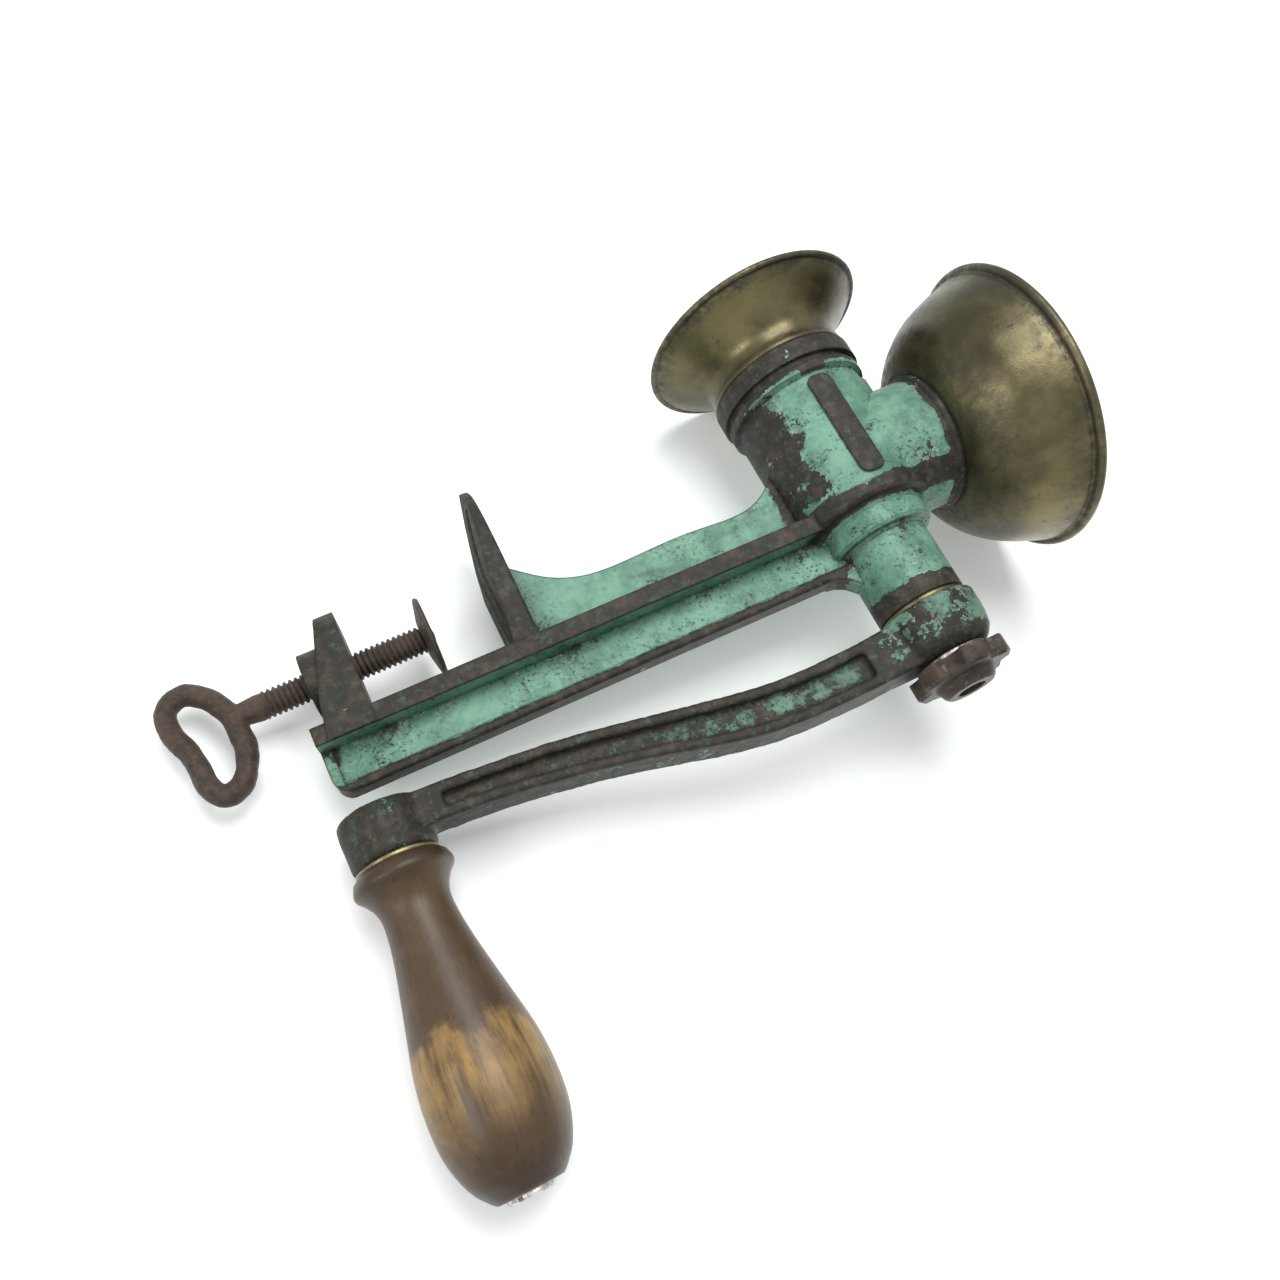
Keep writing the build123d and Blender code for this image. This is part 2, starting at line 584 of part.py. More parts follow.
with BuildPart() as grinding_cone:
    cone_section = [
        (CONE_FRONT, 0), (CONE_REAR, 0), (CONE_REAR, ring_radius(CONE_REAR) - CONE_GAP),
        (RING_FRONT, ring_radius(RING_FRONT) - CONE_GAP),
        (CONE_FRONT, ring_radius(RING_FRONT) - CONE_GAP),
    ]
    revolve(outline(SIDE, cone_section), axis=SHAFT_AXIS)
    with BuildSketch(along_shaft(CONE_FRONT)):
        with PolarLocations(RING_MOUTH_R - CONE_GAP, CONE_TEETH):
            Rectangle(2 * TOOTH_DEPTH + 0.8, 1.2)
    extrude(amount=CONE_REAR - CONE_FRONT, mode=Mode.SUBTRACT)
    with BuildSketch(along_shaft(CONE_FRONT)):
        Rectangle(CONE_SEAT + 2 * RUN_CLEAR, CONE_SEAT + 2 * RUN_CLEAR)
    extrude(amount=CONE_REAR - CONE_FRONT, mode=Mode.SUBTRACT)
grinding_cone.part.label = "grinding_cone"
export_step(grinding_cone.part, "parts/grinding_cone.step")

with BuildPart() as cone_washer:
    washer_front = CONE_FRONT - CONE_WASHER_T
    revolve(outline(SIDE, annulus(END_THREAD_R + 0.3, CONE_WASHER_R, washer_front, CONE_FRONT)),
            axis=SHAFT_AXIS)
cone_washer.part.label = "cone_washer"
export_step(cone_washer.part, "parts/cone_washer.step")

with BuildPart() as cone_nut:
    with BuildSketch(along_shaft(washer_front - NUT_T)):
        RegularPolygon(NUT_FLATS / 2, 6, major_radius=False)
        Circle(END_THREAD_R, mode=Mode.SUBTRACT)
    extrude(amount=NUT_T)
cone_nut.part.label = "cone_nut"
export_step(cone_nut.part, "parts/cone_nut.step")

# ================================================================ shaft, worm
with BuildPart() as drive_shaft:
    shaft_section = [
        (SHAFT_FRONT, 0), (SHAFT_FRONT, END_THREAD_R - 0.6), (SHAFT_FRONT + 0.6, END_THREAD_R),
        (CONE_SEAT_FRONT, END_THREAD_R), (CONE_SEAT_FRONT, WORM_SEAT_R),
        (WORM_REAR, WORM_SEAT_R), (WORM_REAR, SHAFT_R), (SQUARE_END, SHAFT_R),
        (SQUARE_END, END_THREAD_R), (SHAFT_REAR - 0.6, END_THREAD_R),
        (SHAFT_REAR, END_THREAD_R - 0.6), (SHAFT_REAR, 0),
    ]
    revolve(outline(SIDE, shaft_section), axis=SHAFT_AXIS)
    with BuildSketch(along_shaft(CONE_SEAT_FRONT)):
        Circle(SHAFT_R + 1)
        Rectangle(CONE_SEAT, CONE_SEAT, mode=Mode.SUBTRACT)
    extrude(amount=CONE_REAR - CONE_SEAT_FRONT, mode=Mode.SUBTRACT)
    with BuildSketch(along_shaft(SQUARE_START)):
        Circle(SHAFT_R + 1)
        Rectangle(HUB_SEAT, HUB_SEAT, mode=Mode.SUBTRACT)
    extrude(amount=SQUARE_END - SQUARE_START, mode=Mode.SUBTRACT)
    with BuildSketch(Plane(origin=(0, HOPPER_Y + WORM_PIN_AT, SHAFT_Z - SHAFT_R))):
        Circle(WORM_PIN_R)
    extrude(amount=2 * SHAFT_R, mode=Mode.SUBTRACT)
drive_shaft.part.label = "drive_shaft"
export_step(drive_shaft.part, "parts/drive_shaft.step")

flight_start = WORM_FRONT + WORM_FLIGHT_T / 2 + 0.4
flight_run = WORM_REAR - WORM_FRONT - WORM_FLIGHT_T - 0.8
flight_mid_r = (WORM_CORE_R - 0.6 + WORM_R) / 2
with BuildPart() as feed_worm:
    revolve(outline(SIDE, annulus(WORM_SEAT_R, WORM_CORE_R, WORM_FRONT, WORM_REAR)),
            axis=SHAFT_AXIS)
    with BuildLine() as coil:
        Helix(WORM_PITCH, flight_run, flight_mid_r, center=(0, HOPPER_Y + flight_start, SHAFT_Z),
              direction=(0, 1, 0), lefthand=True)
    coil_start = coil.line @ 0
    spoke = Vector(coil_start.X, 0, coil_start.Z - SHAFT_Z)
    with BuildSketch(Plane(origin=coil_start, x_dir=spoke, z_dir=coil.line % 0)):
        Rectangle(WORM_R - WORM_CORE_R + 0.6, WORM_FLIGHT_T)
    sweep(path=coil.line, is_frenet=True)
    with BuildSketch(Plane(origin=(0, HOPPER_Y + WORM_PIN_AT, SHAFT_Z - WORM_R))):
        Circle(WORM_PIN_R)
    extrude(amount=2 * WORM_R, mode=Mode.SUBTRACT)
feed_worm.part.label = "feed_worm"
export_step(feed_worm.part, "parts/feed_worm.step")

with BuildPart() as worm_pin:
    with BuildSketch(Plane(origin=(0, HOPPER_Y + WORM_PIN_AT, SHAFT_Z - WORM_CORE_R))):
        Circle(WORM_PIN_R)
    extrude(amount=2 * WORM_CORE_R)
worm_pin.part.label = "worm_pin"
export_step(worm_pin.part, "parts/worm_pin.step")

# ================================================================ crank
thrust_start = HUB_FACE - THRUST_T
with BuildPart() as thrust_washer:
    revolve(outline(SIDE, annulus(BEARING_R + 0.2, THRUST_R, thrust_start, HUB_FACE)),
            axis=SHAFT_AXIS)
thrust_washer.part.label = "thrust_washer"
export_step(thrust_washer.part, "parts/thrust_washer.step")

# bowed arm seen from the side, its hub-side edge and its outer edge
arm_in = [
    (HUB_FACE + 0.2, -6.0), (48.0, -23.0), (48.1, -48.0), (45.1, -69.0), (41.6, -88.0),
    (38.9, -104.0), (36.9, -124.0), (35.8, -137.0), (35.6, -CRANK_REACH),
]
arm_out = [
    (45.2, -CRANK_REACH), (45.5, -137.0), (46.6, -124.0), (49.5, -104.0), (52.7, -88.0),
    (57.2, -70.0), (60.5, -53.0), (61.3, -38.0), (61.1, -23.0), (HUB_END - 0.2, -6.0),
]
recess_in = [(y + ARM_RIM, z) for y, z in arm_in[1:-1]]
recess_out = [(y - ARM_RIM, z) for y, z in arm_out[1:-1]]
with BuildPart() as crank_arm:
    with BuildSketch(SIDE):
        with BuildLine():
            Spline(*arm_in)
            Line(arm_in[-1], arm_out[0])
            Spline(*arm_out)
            Line(arm_out[-1], arm_in[0])
        make_face()
    extrude(amount=ARM_HALF, both=True)
    for flank in (1, -1):
        with BuildSketch(side_at(flank * ARM_WEB_HALF)):
            with BuildLine():
                Spline(*recess_in)
                Line(recess_in[-1], recess_out[0])
                Spline(*recess_out)
                Line(recess_out[-1], recess_in[0])
            make_face()
        extrude(amount=flank * (ARM_HALF - ARM_WEB_HALF + 1), mode=Mode.SUBTRACT)
    hub_section = [
        (HUB_FACE, 0), (HUB_FACE, HUB_R - 0.8), (HUB_FACE + 0.8, HUB_R),
        (54.0, HUB_R), (57.6, HUB_R - 0.7), (59.8, HUB_R - 2.2), (HUB_END, HUB_R - 3.9),
        (HUB_END, 0),
    ]
    revolve(outline(SIDE, hub_section), axis=SHAFT_AXIS)
    boss_section = [
        (GRIP_BOSS_IN, 0), (GRIP_BOSS_IN, GRIP_BOSS_R - 1.2), (GRIP_BOSS_IN + 1.2, GRIP_BOSS_R),
        (GRIP_BOSS_OUT - 1.0, GRIP_BOSS_R), (GRIP_BOSS_OUT, GRIP_BOSS_R - 1.0),
        (GRIP_BOSS_OUT, 0),
    ]
    revolve(outline(GRIP_SIDE, boss_section), axis=GRIP_AXIS)
    with BuildSketch(along_shaft(HUB_FACE)):
        Rectangle(HUB_SEAT + 2 * RUN_CLEAR, HUB_SEAT + 2 * RUN_CLEAR)
    extrude(amount=HUB_END - HUB_FACE, mode=Mode.SUBTRACT)
    with BuildSketch(Plane(origin=(0, HOPPER_Y + SPINDLE_IN, SHAFT_Z - CRANK_REACH),
                           z_dir=(0, 1, 0))):
        Circle(SPINDLE_R)
    extrude(amount=GRIP_BOSS_OUT - SPINDLE_IN, mode=Mode.SUBTRACT)
crank_arm.part.label = "crank_arm"
export_step(crank_arm.part, "parts/crank_arm.step")

with BuildPart() as nut_washer:
    revolve(outline(SIDE, annulus(END_THREAD_R + 0.4, NUT_WASHER_R, HUB_END,
                                  HUB_END + NUT_WASHER_T)), axis=SHAFT_AXIS)
nut_washer.part.label = "nut_washer"
export_step(nut_washer.part, "parts/nut_washer.step")

star_start = HUB_END + NUT_WASHER_T + FACE_CLEAR
with BuildPart() as star_nut:
    with BuildSketch(along_shaft(star_start)) as star_face:
        Circle(STAR_R)
        with PolarLocations(STAR_R + 2.2, STAR_LOBES, start_angle=30):
            Circle(4.6, mode=Mode.SUBTRACT)
        fillet(star_face.vertices(), radius=1.3)
    extrude(amount=STAR_BODY_END - star_start)
    rims = star_nut.faces().filter_by(Axis.Y).sort_by(Axis.Y)[-1].edges()
    chamfer(rims, length=0.9)
    revolve(outline(SIDE, [
        (STAR_BODY_END - 1, 0), (STAR_BODY_END - 1, STAR_HUB_R + 1.6),
        (STAR_BODY_END, STAR_HUB_R + 1.2), (STAR_END - 0.7, STAR_HUB_R),
        (STAR_END, STAR_HUB_R - 0.8), (STAR_END, 0)]), axis=SHAFT_AXIS)
    revolve(outline(SIDE, annulus(0, END_THREAD_R + THREAD_CLEAR, star_start, STAR_END)),
            axis=SHAFT_AXIS, mode=Mode.SUBTRACT)
star_nut.part.label = "star_nut"
export_step(star_nut.part, "parts/star_nut.step")

# ================================================================ grip
head_start = SPINDLE_END - SPINDLE_HEAD_T
with BuildPart() as grip_spindle:
    revolve(outline(GRIP_SIDE, [
        (SPINDLE_IN, 0), (SPINDLE_IN, SPINDLE_R), (head_start, SPINDLE_R),
        (head_start, SPINDLE_HEAD_R), (SPINDLE_END - 0.5, SPINDLE_HEAD_R),
        (SPINDLE_END, SPINDLE_HEAD_R - 0.8), (SPINDLE_END, 0)]), axis=GRIP_AXIS)
    with BuildSketch(Plane(origin=(0, HOPPER_Y + SPINDLE_END, SHAFT_Z - CRANK_REACH),
                           x_dir=(-1, 0, 0), z_dir=(0, 1, 0))):
        Rectangle(2 * SPINDLE_HEAD_R + 1, 1.3, rotation=25)
    extrude(amount=-1.1, mode=Mode.SUBTRACT)
grip_spindle.part.label = "grip_spindle"
export_step(grip_spindle.part, "parts/grip_spindle.step")

with BuildPart() as grip_washer:
    revolve(outline(GRIP_SIDE, annulus(SPINDLE_R, GRIP_WASHER_R, GRIP_BOSS_OUT,
                                       GRIP_BOSS_OUT + GRIP_WASHER_T)), axis=GRIP_AXIS)
grip_washer.part.label = "grip_washer"
export_step(grip_washer.part, "parts/grip_washer.step")

grip_curve = [
    (51.0, 12.1), (53.8, 12.9), (56.2, 11.0), (58.8, 9.5), (62.0, 8.8), (67.0, 9.1),
    (73.0, 10.0), (80.0, 11.4), (88.0, 13.1), (96.0, 14.8), (103.0, 15.7), (110.0, 15.9),
    (116.0, 15.4), (121.0, 14.1), (125.6, 12.0), (GRIP_END - 0.8, 9.0),
]
with BuildPart() as handle_grip:
    with BuildSketch(GRIP_SIDE):
        with BuildLine():
            Spline(*grip_curve)
            Polyline(
                grip_curve[-1], (GRIP_END, GRIP_RECESS_R + 1.2), (GRIP_END, GRIP_RECESS_R),
                (GRIP_END - GRIP_RECESS, GRIP_RECESS_R), (GRIP_END - GRIP_RECESS, GRIP_BORE_R),
                (GRIP_START, GRIP_BORE_R), (GRIP_START, 11.0), grip_curve[0],
            )
        make_face()
    revolve(axis=GRIP_AXIS)
handle_grip.part.label = "handle_grip"
export_step(handle_grip.part, "parts/handle_grip.step")

# ================================================================ clamp screw
loop_path = [
    (0.0, -71.6), (-7.8, -75.6), (-11.5, -81.0), (-9.0, -86.6), (-2.4, -86.8),
    (3.8, -84.2), (9.2, -83.2), (14.6, -82.8), (18.8, -79.6), (17.8, -74.9),
    (12.8, -71.7), (6.6, -70.6), (1.2, -71.2),
]
root_r = THREAD_R - THREAD_DEPTH
pad_low = PAD_TOP - PAD_T
thread_turns = int((pad_low - 1.6 - THREAD_END) / THREAD_PITCH)
with BuildPart() as clamp_screw:
    # crests and roots of the thread as one turned outline
    core = [(0.0, RIVET_SEAT), (SPIGOT_R, RIVET_SEAT), (SPIGOT_R, pad_low - FACE_CLEAR),
            (root_r, pad_low - FACE_CLEAR), (root_r, pad_low - 1.6)]
    for turn in range(thread_turns):
        top = pad_low - 1.6 - turn * THREAD_PITCH
        core.append((THREAD_R, top - 0.45 * THREAD_PITCH))
        core.append((THREAD_R, top - 0.62 * THREAD_PITCH))
        core.append((root_r, top - 0.95 * THREAD_PITCH))
        core.append((root_r, top - THREAD_PITCH))
    core += [(SHANK_R, THREAD_END - 2.5), (SHANK_NECK_R, SHANK_END), (SHANK_NECK_R - 1.4, SHANK_LOW),
             (0.0, SHANK_LOW)]
    front_plane = Plane(origin=(0, 0, 0), x_dir=(1, 0, 0), z_dir=(0, -1, 0))
    revolve(outline(front_plane, core), axis=Axis.Z)
    # bent rod loop
    with BuildLine(SCREW_SIDE) as loop:
        Spline(*loop_path)
    with BuildSketch(Plane(origin=loop.line @ 0, z_dir=loop.line % 0)):
        Circle(LOOP_ROD_R)
    sweep(path=loop.line)
clamp_screw.part.label = "clamp_screw"
export_step(clamp_screw.part, "parts/clamp_screw.step")

with BuildPart() as pressure_pad:
    pad_section = [
        (PAD_BORE_R, pad_low), (5.0, pad_low), (PAD_R - 0.6, pad_low + PAD_DISH),
        (PAD_R, pad_low + PAD_DISH + 0.5), (PAD_R - 0.5, PAD_TOP + PAD_DISH),
        (5.0, PAD_TOP), (PAD_BORE_R, PAD_TOP),
    ]
    revolve(outline(front_plane, pad_section), axis=Axis.Z)
pressure_pad.part.label = "pressure_pad"
export_step(pressure_pad.part, "parts/pressure_pad.step")

with BuildPart() as pad_rivet:
    rivet_section = [
        (0, RIVET_SEAT), (RIVET_R, RIVET_SEAT),
        (RIVET_R - 0.5, PAD_TOP + 0.9), (RIVET_R - 1.6, PAD_TOP + 1.6),
        (0, PAD_TOP + RIVET_H),
    ]
    revolve(outline(front_plane, rivet_section), axis=Axis.Z)
pad_rivet.part.label = "pad_rivet"
export_step(pad_rivet.part, "parts/pad_rivet.step")
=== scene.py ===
"""Looks of a hand cranked poppy seed mill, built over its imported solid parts.

Sizes are millimetres in the part's own frame until a mesh is made, which is in metres.
"""

from __future__ import annotations

import json
import logging
import math
from dataclasses import dataclass
from enum import Enum

import bmesh
import bpy
from mathutils import Matrix, Vector, noise

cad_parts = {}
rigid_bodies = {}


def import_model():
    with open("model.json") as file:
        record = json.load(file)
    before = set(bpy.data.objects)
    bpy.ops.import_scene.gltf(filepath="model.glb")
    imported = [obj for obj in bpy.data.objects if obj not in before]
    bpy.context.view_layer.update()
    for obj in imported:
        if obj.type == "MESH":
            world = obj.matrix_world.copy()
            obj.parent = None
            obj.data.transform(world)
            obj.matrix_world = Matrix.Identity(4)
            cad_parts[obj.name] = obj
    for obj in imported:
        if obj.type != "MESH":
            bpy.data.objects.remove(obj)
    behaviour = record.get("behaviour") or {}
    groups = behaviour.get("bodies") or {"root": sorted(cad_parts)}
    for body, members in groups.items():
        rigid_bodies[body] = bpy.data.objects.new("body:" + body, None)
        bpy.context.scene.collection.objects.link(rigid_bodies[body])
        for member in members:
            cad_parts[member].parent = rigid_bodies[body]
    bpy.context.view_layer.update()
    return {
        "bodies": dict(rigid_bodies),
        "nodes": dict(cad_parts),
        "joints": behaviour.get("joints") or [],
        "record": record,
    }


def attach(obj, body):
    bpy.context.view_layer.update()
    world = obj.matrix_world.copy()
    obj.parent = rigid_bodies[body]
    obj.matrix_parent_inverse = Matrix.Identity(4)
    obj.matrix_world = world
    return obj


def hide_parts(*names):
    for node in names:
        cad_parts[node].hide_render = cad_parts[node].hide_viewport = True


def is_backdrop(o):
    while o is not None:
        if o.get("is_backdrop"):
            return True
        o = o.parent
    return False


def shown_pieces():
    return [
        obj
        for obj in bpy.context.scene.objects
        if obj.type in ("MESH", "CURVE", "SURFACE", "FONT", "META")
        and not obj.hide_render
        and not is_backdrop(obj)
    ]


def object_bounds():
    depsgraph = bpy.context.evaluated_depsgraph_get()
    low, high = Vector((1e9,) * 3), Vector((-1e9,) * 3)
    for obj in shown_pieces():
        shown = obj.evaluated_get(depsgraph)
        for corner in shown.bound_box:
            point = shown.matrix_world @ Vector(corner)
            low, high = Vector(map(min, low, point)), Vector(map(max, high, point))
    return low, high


LOG = logging.getLogger("poppy_mill")
MM = 0.001
SHAFT = Vector((0.0, 3.5, 106.0))
GRIP_LINE = Vector((0.0, 3.5, -47.0))

Colour = tuple[float, float, float]
Plug = object


class Corrosion(Enum):
    """How far bare iron has gone."""

    BROWNED = "browned"
    RUSTED = "rusted"


# ------------------------------------------------------------------ node trees
class Wiring:
    """Short hand for laying out one shader or geometry node tree."""

    def __init__(self, tree: bpy.types.NodeTree) -> None:
        """Keeps the tree that the nodes go into.

        Args:
            tree: Shader or geometry node tree.
        """
        self.tree = tree

    def put(self, kind: str, **settings: object) -> bpy.types.Node:
        """Adds a node and sets its properties.

        Args:
            kind: Node type name.
            settings: Properties of the node.

        Returns:
            The new node.
        """
        node = self.tree.nodes.new(kind)
        for name, value in settings.items():
            setattr(node, name, value)
        return node

    def feed(self, target: Plug, source: Plug) -> None:
        """Links a socket to the target, or writes a plain value on it.

        Args:
            target: Input socket.
            source: Output socket, number or tuple.
        """
        if isinstance(source, bpy.types.NodeSocket):
            self.tree.links.new(source, target)
        else:
            target.default_value = source

    def maths(self, operation: str, a: Plug, b: Plug = 0.0, clamp: bool = False) -> Plug:
        """One Math node.

        Args:
            operation: Name of the operation.
            a: First value or socket.
            b: Second value or socket.
            clamp: Whether the result stays within 0 and 1.

        Returns:
            The result's socket.
        """
        node = self.put("ShaderNodeMath", operation=operation, use_clamp=clamp)
        self.feed(node.inputs[0], a)
        self.feed(node.inputs[1], b)
        return node.outputs[0]

    def times(self, a: Plug, b: Plug) -> Plug:
        """Product of two values or sockets."""
        return self.maths("MULTIPLY", a, b)

    def plus(self, a: Plug, b: Plug) -> Plug:
        """Sum of two values or sockets."""
        return self.maths("ADD", a, b)

    def minus(self, a: Plug, b: Plug) -> Plug:
        """Difference of two values or sockets."""
        return self.maths("SUBTRACT", a, b)

    def rise(self, value: Plug, low: float, high: float) -> Plug:
        """Smooth step from 0 at low to 1 at high.

        Args:
            value: Socket to map.
            low: Value that gives 0.
            high: Value that gives 1.

        Returns:
            The mapped socket.
        """
        node = self.put("ShaderNodeMapRange", interpolation_type="SMOOTHSTEP")
        self.feed(node.inputs["Value"], value)
        node.inputs["From Min"].default_value = low
        node.inputs["From Max"].default_value = high
        return node.outputs["Result"]

    def window(self, value: Plug, low: float, high: float, soft: float) -> Plug:
        """Mask that is 1 between low and high, with soft flanks.

        Args:
            value: Socket to test.
            low: Lower edge.
            high: Upper edge.
            soft: Width of each flank.

        Returns:
            The mask's socket.
        """
        up = self.rise(value, low - soft, low + soft)
        down = self.rise(value, high + soft, high - soft)
        return self.maths("MULTIPLY", up, down)

    def blend(self, factor: Plug, a: Plug, b: Plug) -> Plug:
        """Mixes two colours.

        Args:
            factor: Share of the second colour.
            a: First colour or socket.
            b: Second colour or socket.

        Returns:
            The mixed colour's socket.
        """
        node = self.put("ShaderNodeMix", data_type="RGBA")
        self.feed(node.inputs["Factor"], factor)
        self.feed(node.inputs[6], (*a, 1.0) if isinstance(a, tuple) else a)
        self.feed(node.inputs[7], (*b, 1.0) if isinstance(b, tuple) else b)
        return node.outputs[2]

    def grain(self, place: Plug, size: float, detail: float = 5.0, rough: float = 0.6) -> Plug:
        """Noise whose features are about size millimetres across.

        Args:
            place: Position in millimetres.
            size: Size of the features.
            detail: Octaves of the noise.
            rough: Strength of the finer octaves.

        Returns:
            The noise value's socket.
        """
        node = self.put("ShaderNodeTexNoise")
        self.feed(node.inputs["Vector"], place)
        node.inputs["Scale"].default_value = 1.0 / size
        node.inputs["Detail"].default_value = detail
        node.inputs["Roughness"].default_value = rough
        return node.outputs["Fac"]


def socketed_group(name: str, ins: dict[str, float], outs: dict[str, str]) -> tuple:
    """Starts a shader node group with named number inputs.

    Args:
        name: Name of the group.
        ins: Default value of each number input.
        outs: Socket type of each output.

    Returns:
        The group's wiring, its input node and its output node.
    """
    tree = bpy.data.node_groups.new(name, "ShaderNodeTree")
    for label, value in ins.items():
        item = tree.interface.new_socket(label, in_out="INPUT", socket_type="NodeSocketFloat")
        item.default_value = value
    for label, kind in outs.items():
        tree.interface.new_socket(label, in_out="OUTPUT", socket_type=kind)
    wiring = Wiring(tree)
    return wiring, wiring.put("NodeGroupInput"), wiring.put("NodeGroupOutput")


class SharedEffects:
    """Shader node groups that more than one finish uses."""

    def __init__(self) -> None:
        """Builds each group once."""
        self.place = self._place()
        self.relief = self._relief()
        self.flaking = self._flaking()

    @staticmethod
    def _place() -> bpy.types.NodeTree:
        """Position in millimetres.

        Returns:
            The node group.
        """
        w, _, out = socketed_group(
            "place_in_mm", {}, {"Place": "NodeSocketVector", "X": "NodeSocketFloat",
                                "Y": "NodeSocketFloat", "Z": "NodeSocketFloat"})
        coordinates = w.put("ShaderNodeTexCoord")
        scaled = w.put("ShaderNodeVectorMath", operation="SCALE")
        w.feed(scaled.inputs[0], coordinates.outputs["Object"])
        scaled.inputs["Scale"].default_value = 1.0 / MM
        apart = w.put("ShaderNodeSeparateXYZ")
        w.feed(apart.inputs[0], scaled.outputs[0])
        w.feed(out.inputs["Place"], scaled.outputs[0])
        for axis in "XYZ":
            w.feed(out.inputs[axis], apart.outputs[axis])
        return w.tree

    @staticmethod
    def _relief() -> bpy.types.NodeTree:
        """Masks of outer edges and inner corners, and a normal with rounded edges.

        Returns:
            The node group.
        """
        w, entry, out = socketed_group(
            "edges_and_corners", {"Radius": 0.9 * MM, "Reach": 7.0 * MM},
            {"Edge": "NodeSocketFloat", "Corner": "NodeSocketFloat",
             "Round Normal": "NodeSocketVector"})
        bevel = w.put("ShaderNodeBevel", samples=6)
        w.feed(bevel.inputs["Radius"], entry.outputs["Radius"])
        surface = w.put("ShaderNodeNewGeometry")
        turn = w.put("ShaderNodeVectorMath", operation="DOT_PRODUCT")
        w.feed(turn.inputs[0], bevel.outputs["Normal"])
        w.feed(turn.inputs[1], surface.outputs["Normal"])
        bent = w.rise(w.minus(1.0, turn.outputs["Value"]), 0.01, 0.16)
        # Corner is an ambient-occlusion mask of inner corners. The finishes darken their colour by
        # it, which is painted shade; the paint also wears and gathers grime there.
        shade = w.put("ShaderNodeAmbientOcclusion", samples=8, only_local=True)
        w.feed(shade.inputs["Distance"], entry.outputs["Reach"])
        corner = w.minus(1.0, w.rise(shade.outputs["AO"], 0.35, 0.98))
        outward = w.minus(1.0, w.rise(corner, 0.25, 0.6))
        w.feed(out.inputs["Edge"], w.times(bent, outward))
        w.feed(out.inputs["Corner"], corner)
        w.feed(out.inputs["Round Normal"], bevel.outputs["Normal"])
        return w.tree

    @staticmethod
    def _flaking() -> bpy.types.NodeTree:
        """Sharp-edged patches where a coat has come off.

        Returns:
            The node group.
        """
        w, entry, out = socketed_group(
            "flaked_patches", {"Loss": 0.3, "Patch Size": 9.0},
            {"Bare": "NodeSocketFloat", "Margin": "NodeSocketFloat",
             "Halo": "NodeSocketFloat"})
        tree = w.tree
        tree.interface.new_socket("Place", in_out="INPUT", socket_type="NodeSocketVector")
        spread = w.put("ShaderNodeVectorMath", operation="DIVIDE")
        w.feed(spread.inputs[0], entry.outputs["Place"])
        w.feed(spread.inputs[1], entry.outputs["Patch Size"])
        broad = w.grain(spread.outputs[0], 1.0, 9.0, 0.68)
        fine = w.grain(entry.outputs["Place"], 1.3, 4.0, 0.6)
        mixed = w.plus(w.times(broad, 0.8), w.times(fine, 0.2))
        level = w.plus(mixed, w.minus(entry.outputs["Loss"], 1.0))
        w.feed(out.inputs["Bare"], w.rise(level, -0.012, 0.012))
        w.feed(out.inputs["Margin"], w.window(level, -0.03, 0.0, 0.015))
        w.feed(out.inputs["Halo"], w.rise(level, -0.15, 0.0))
        return w.tree


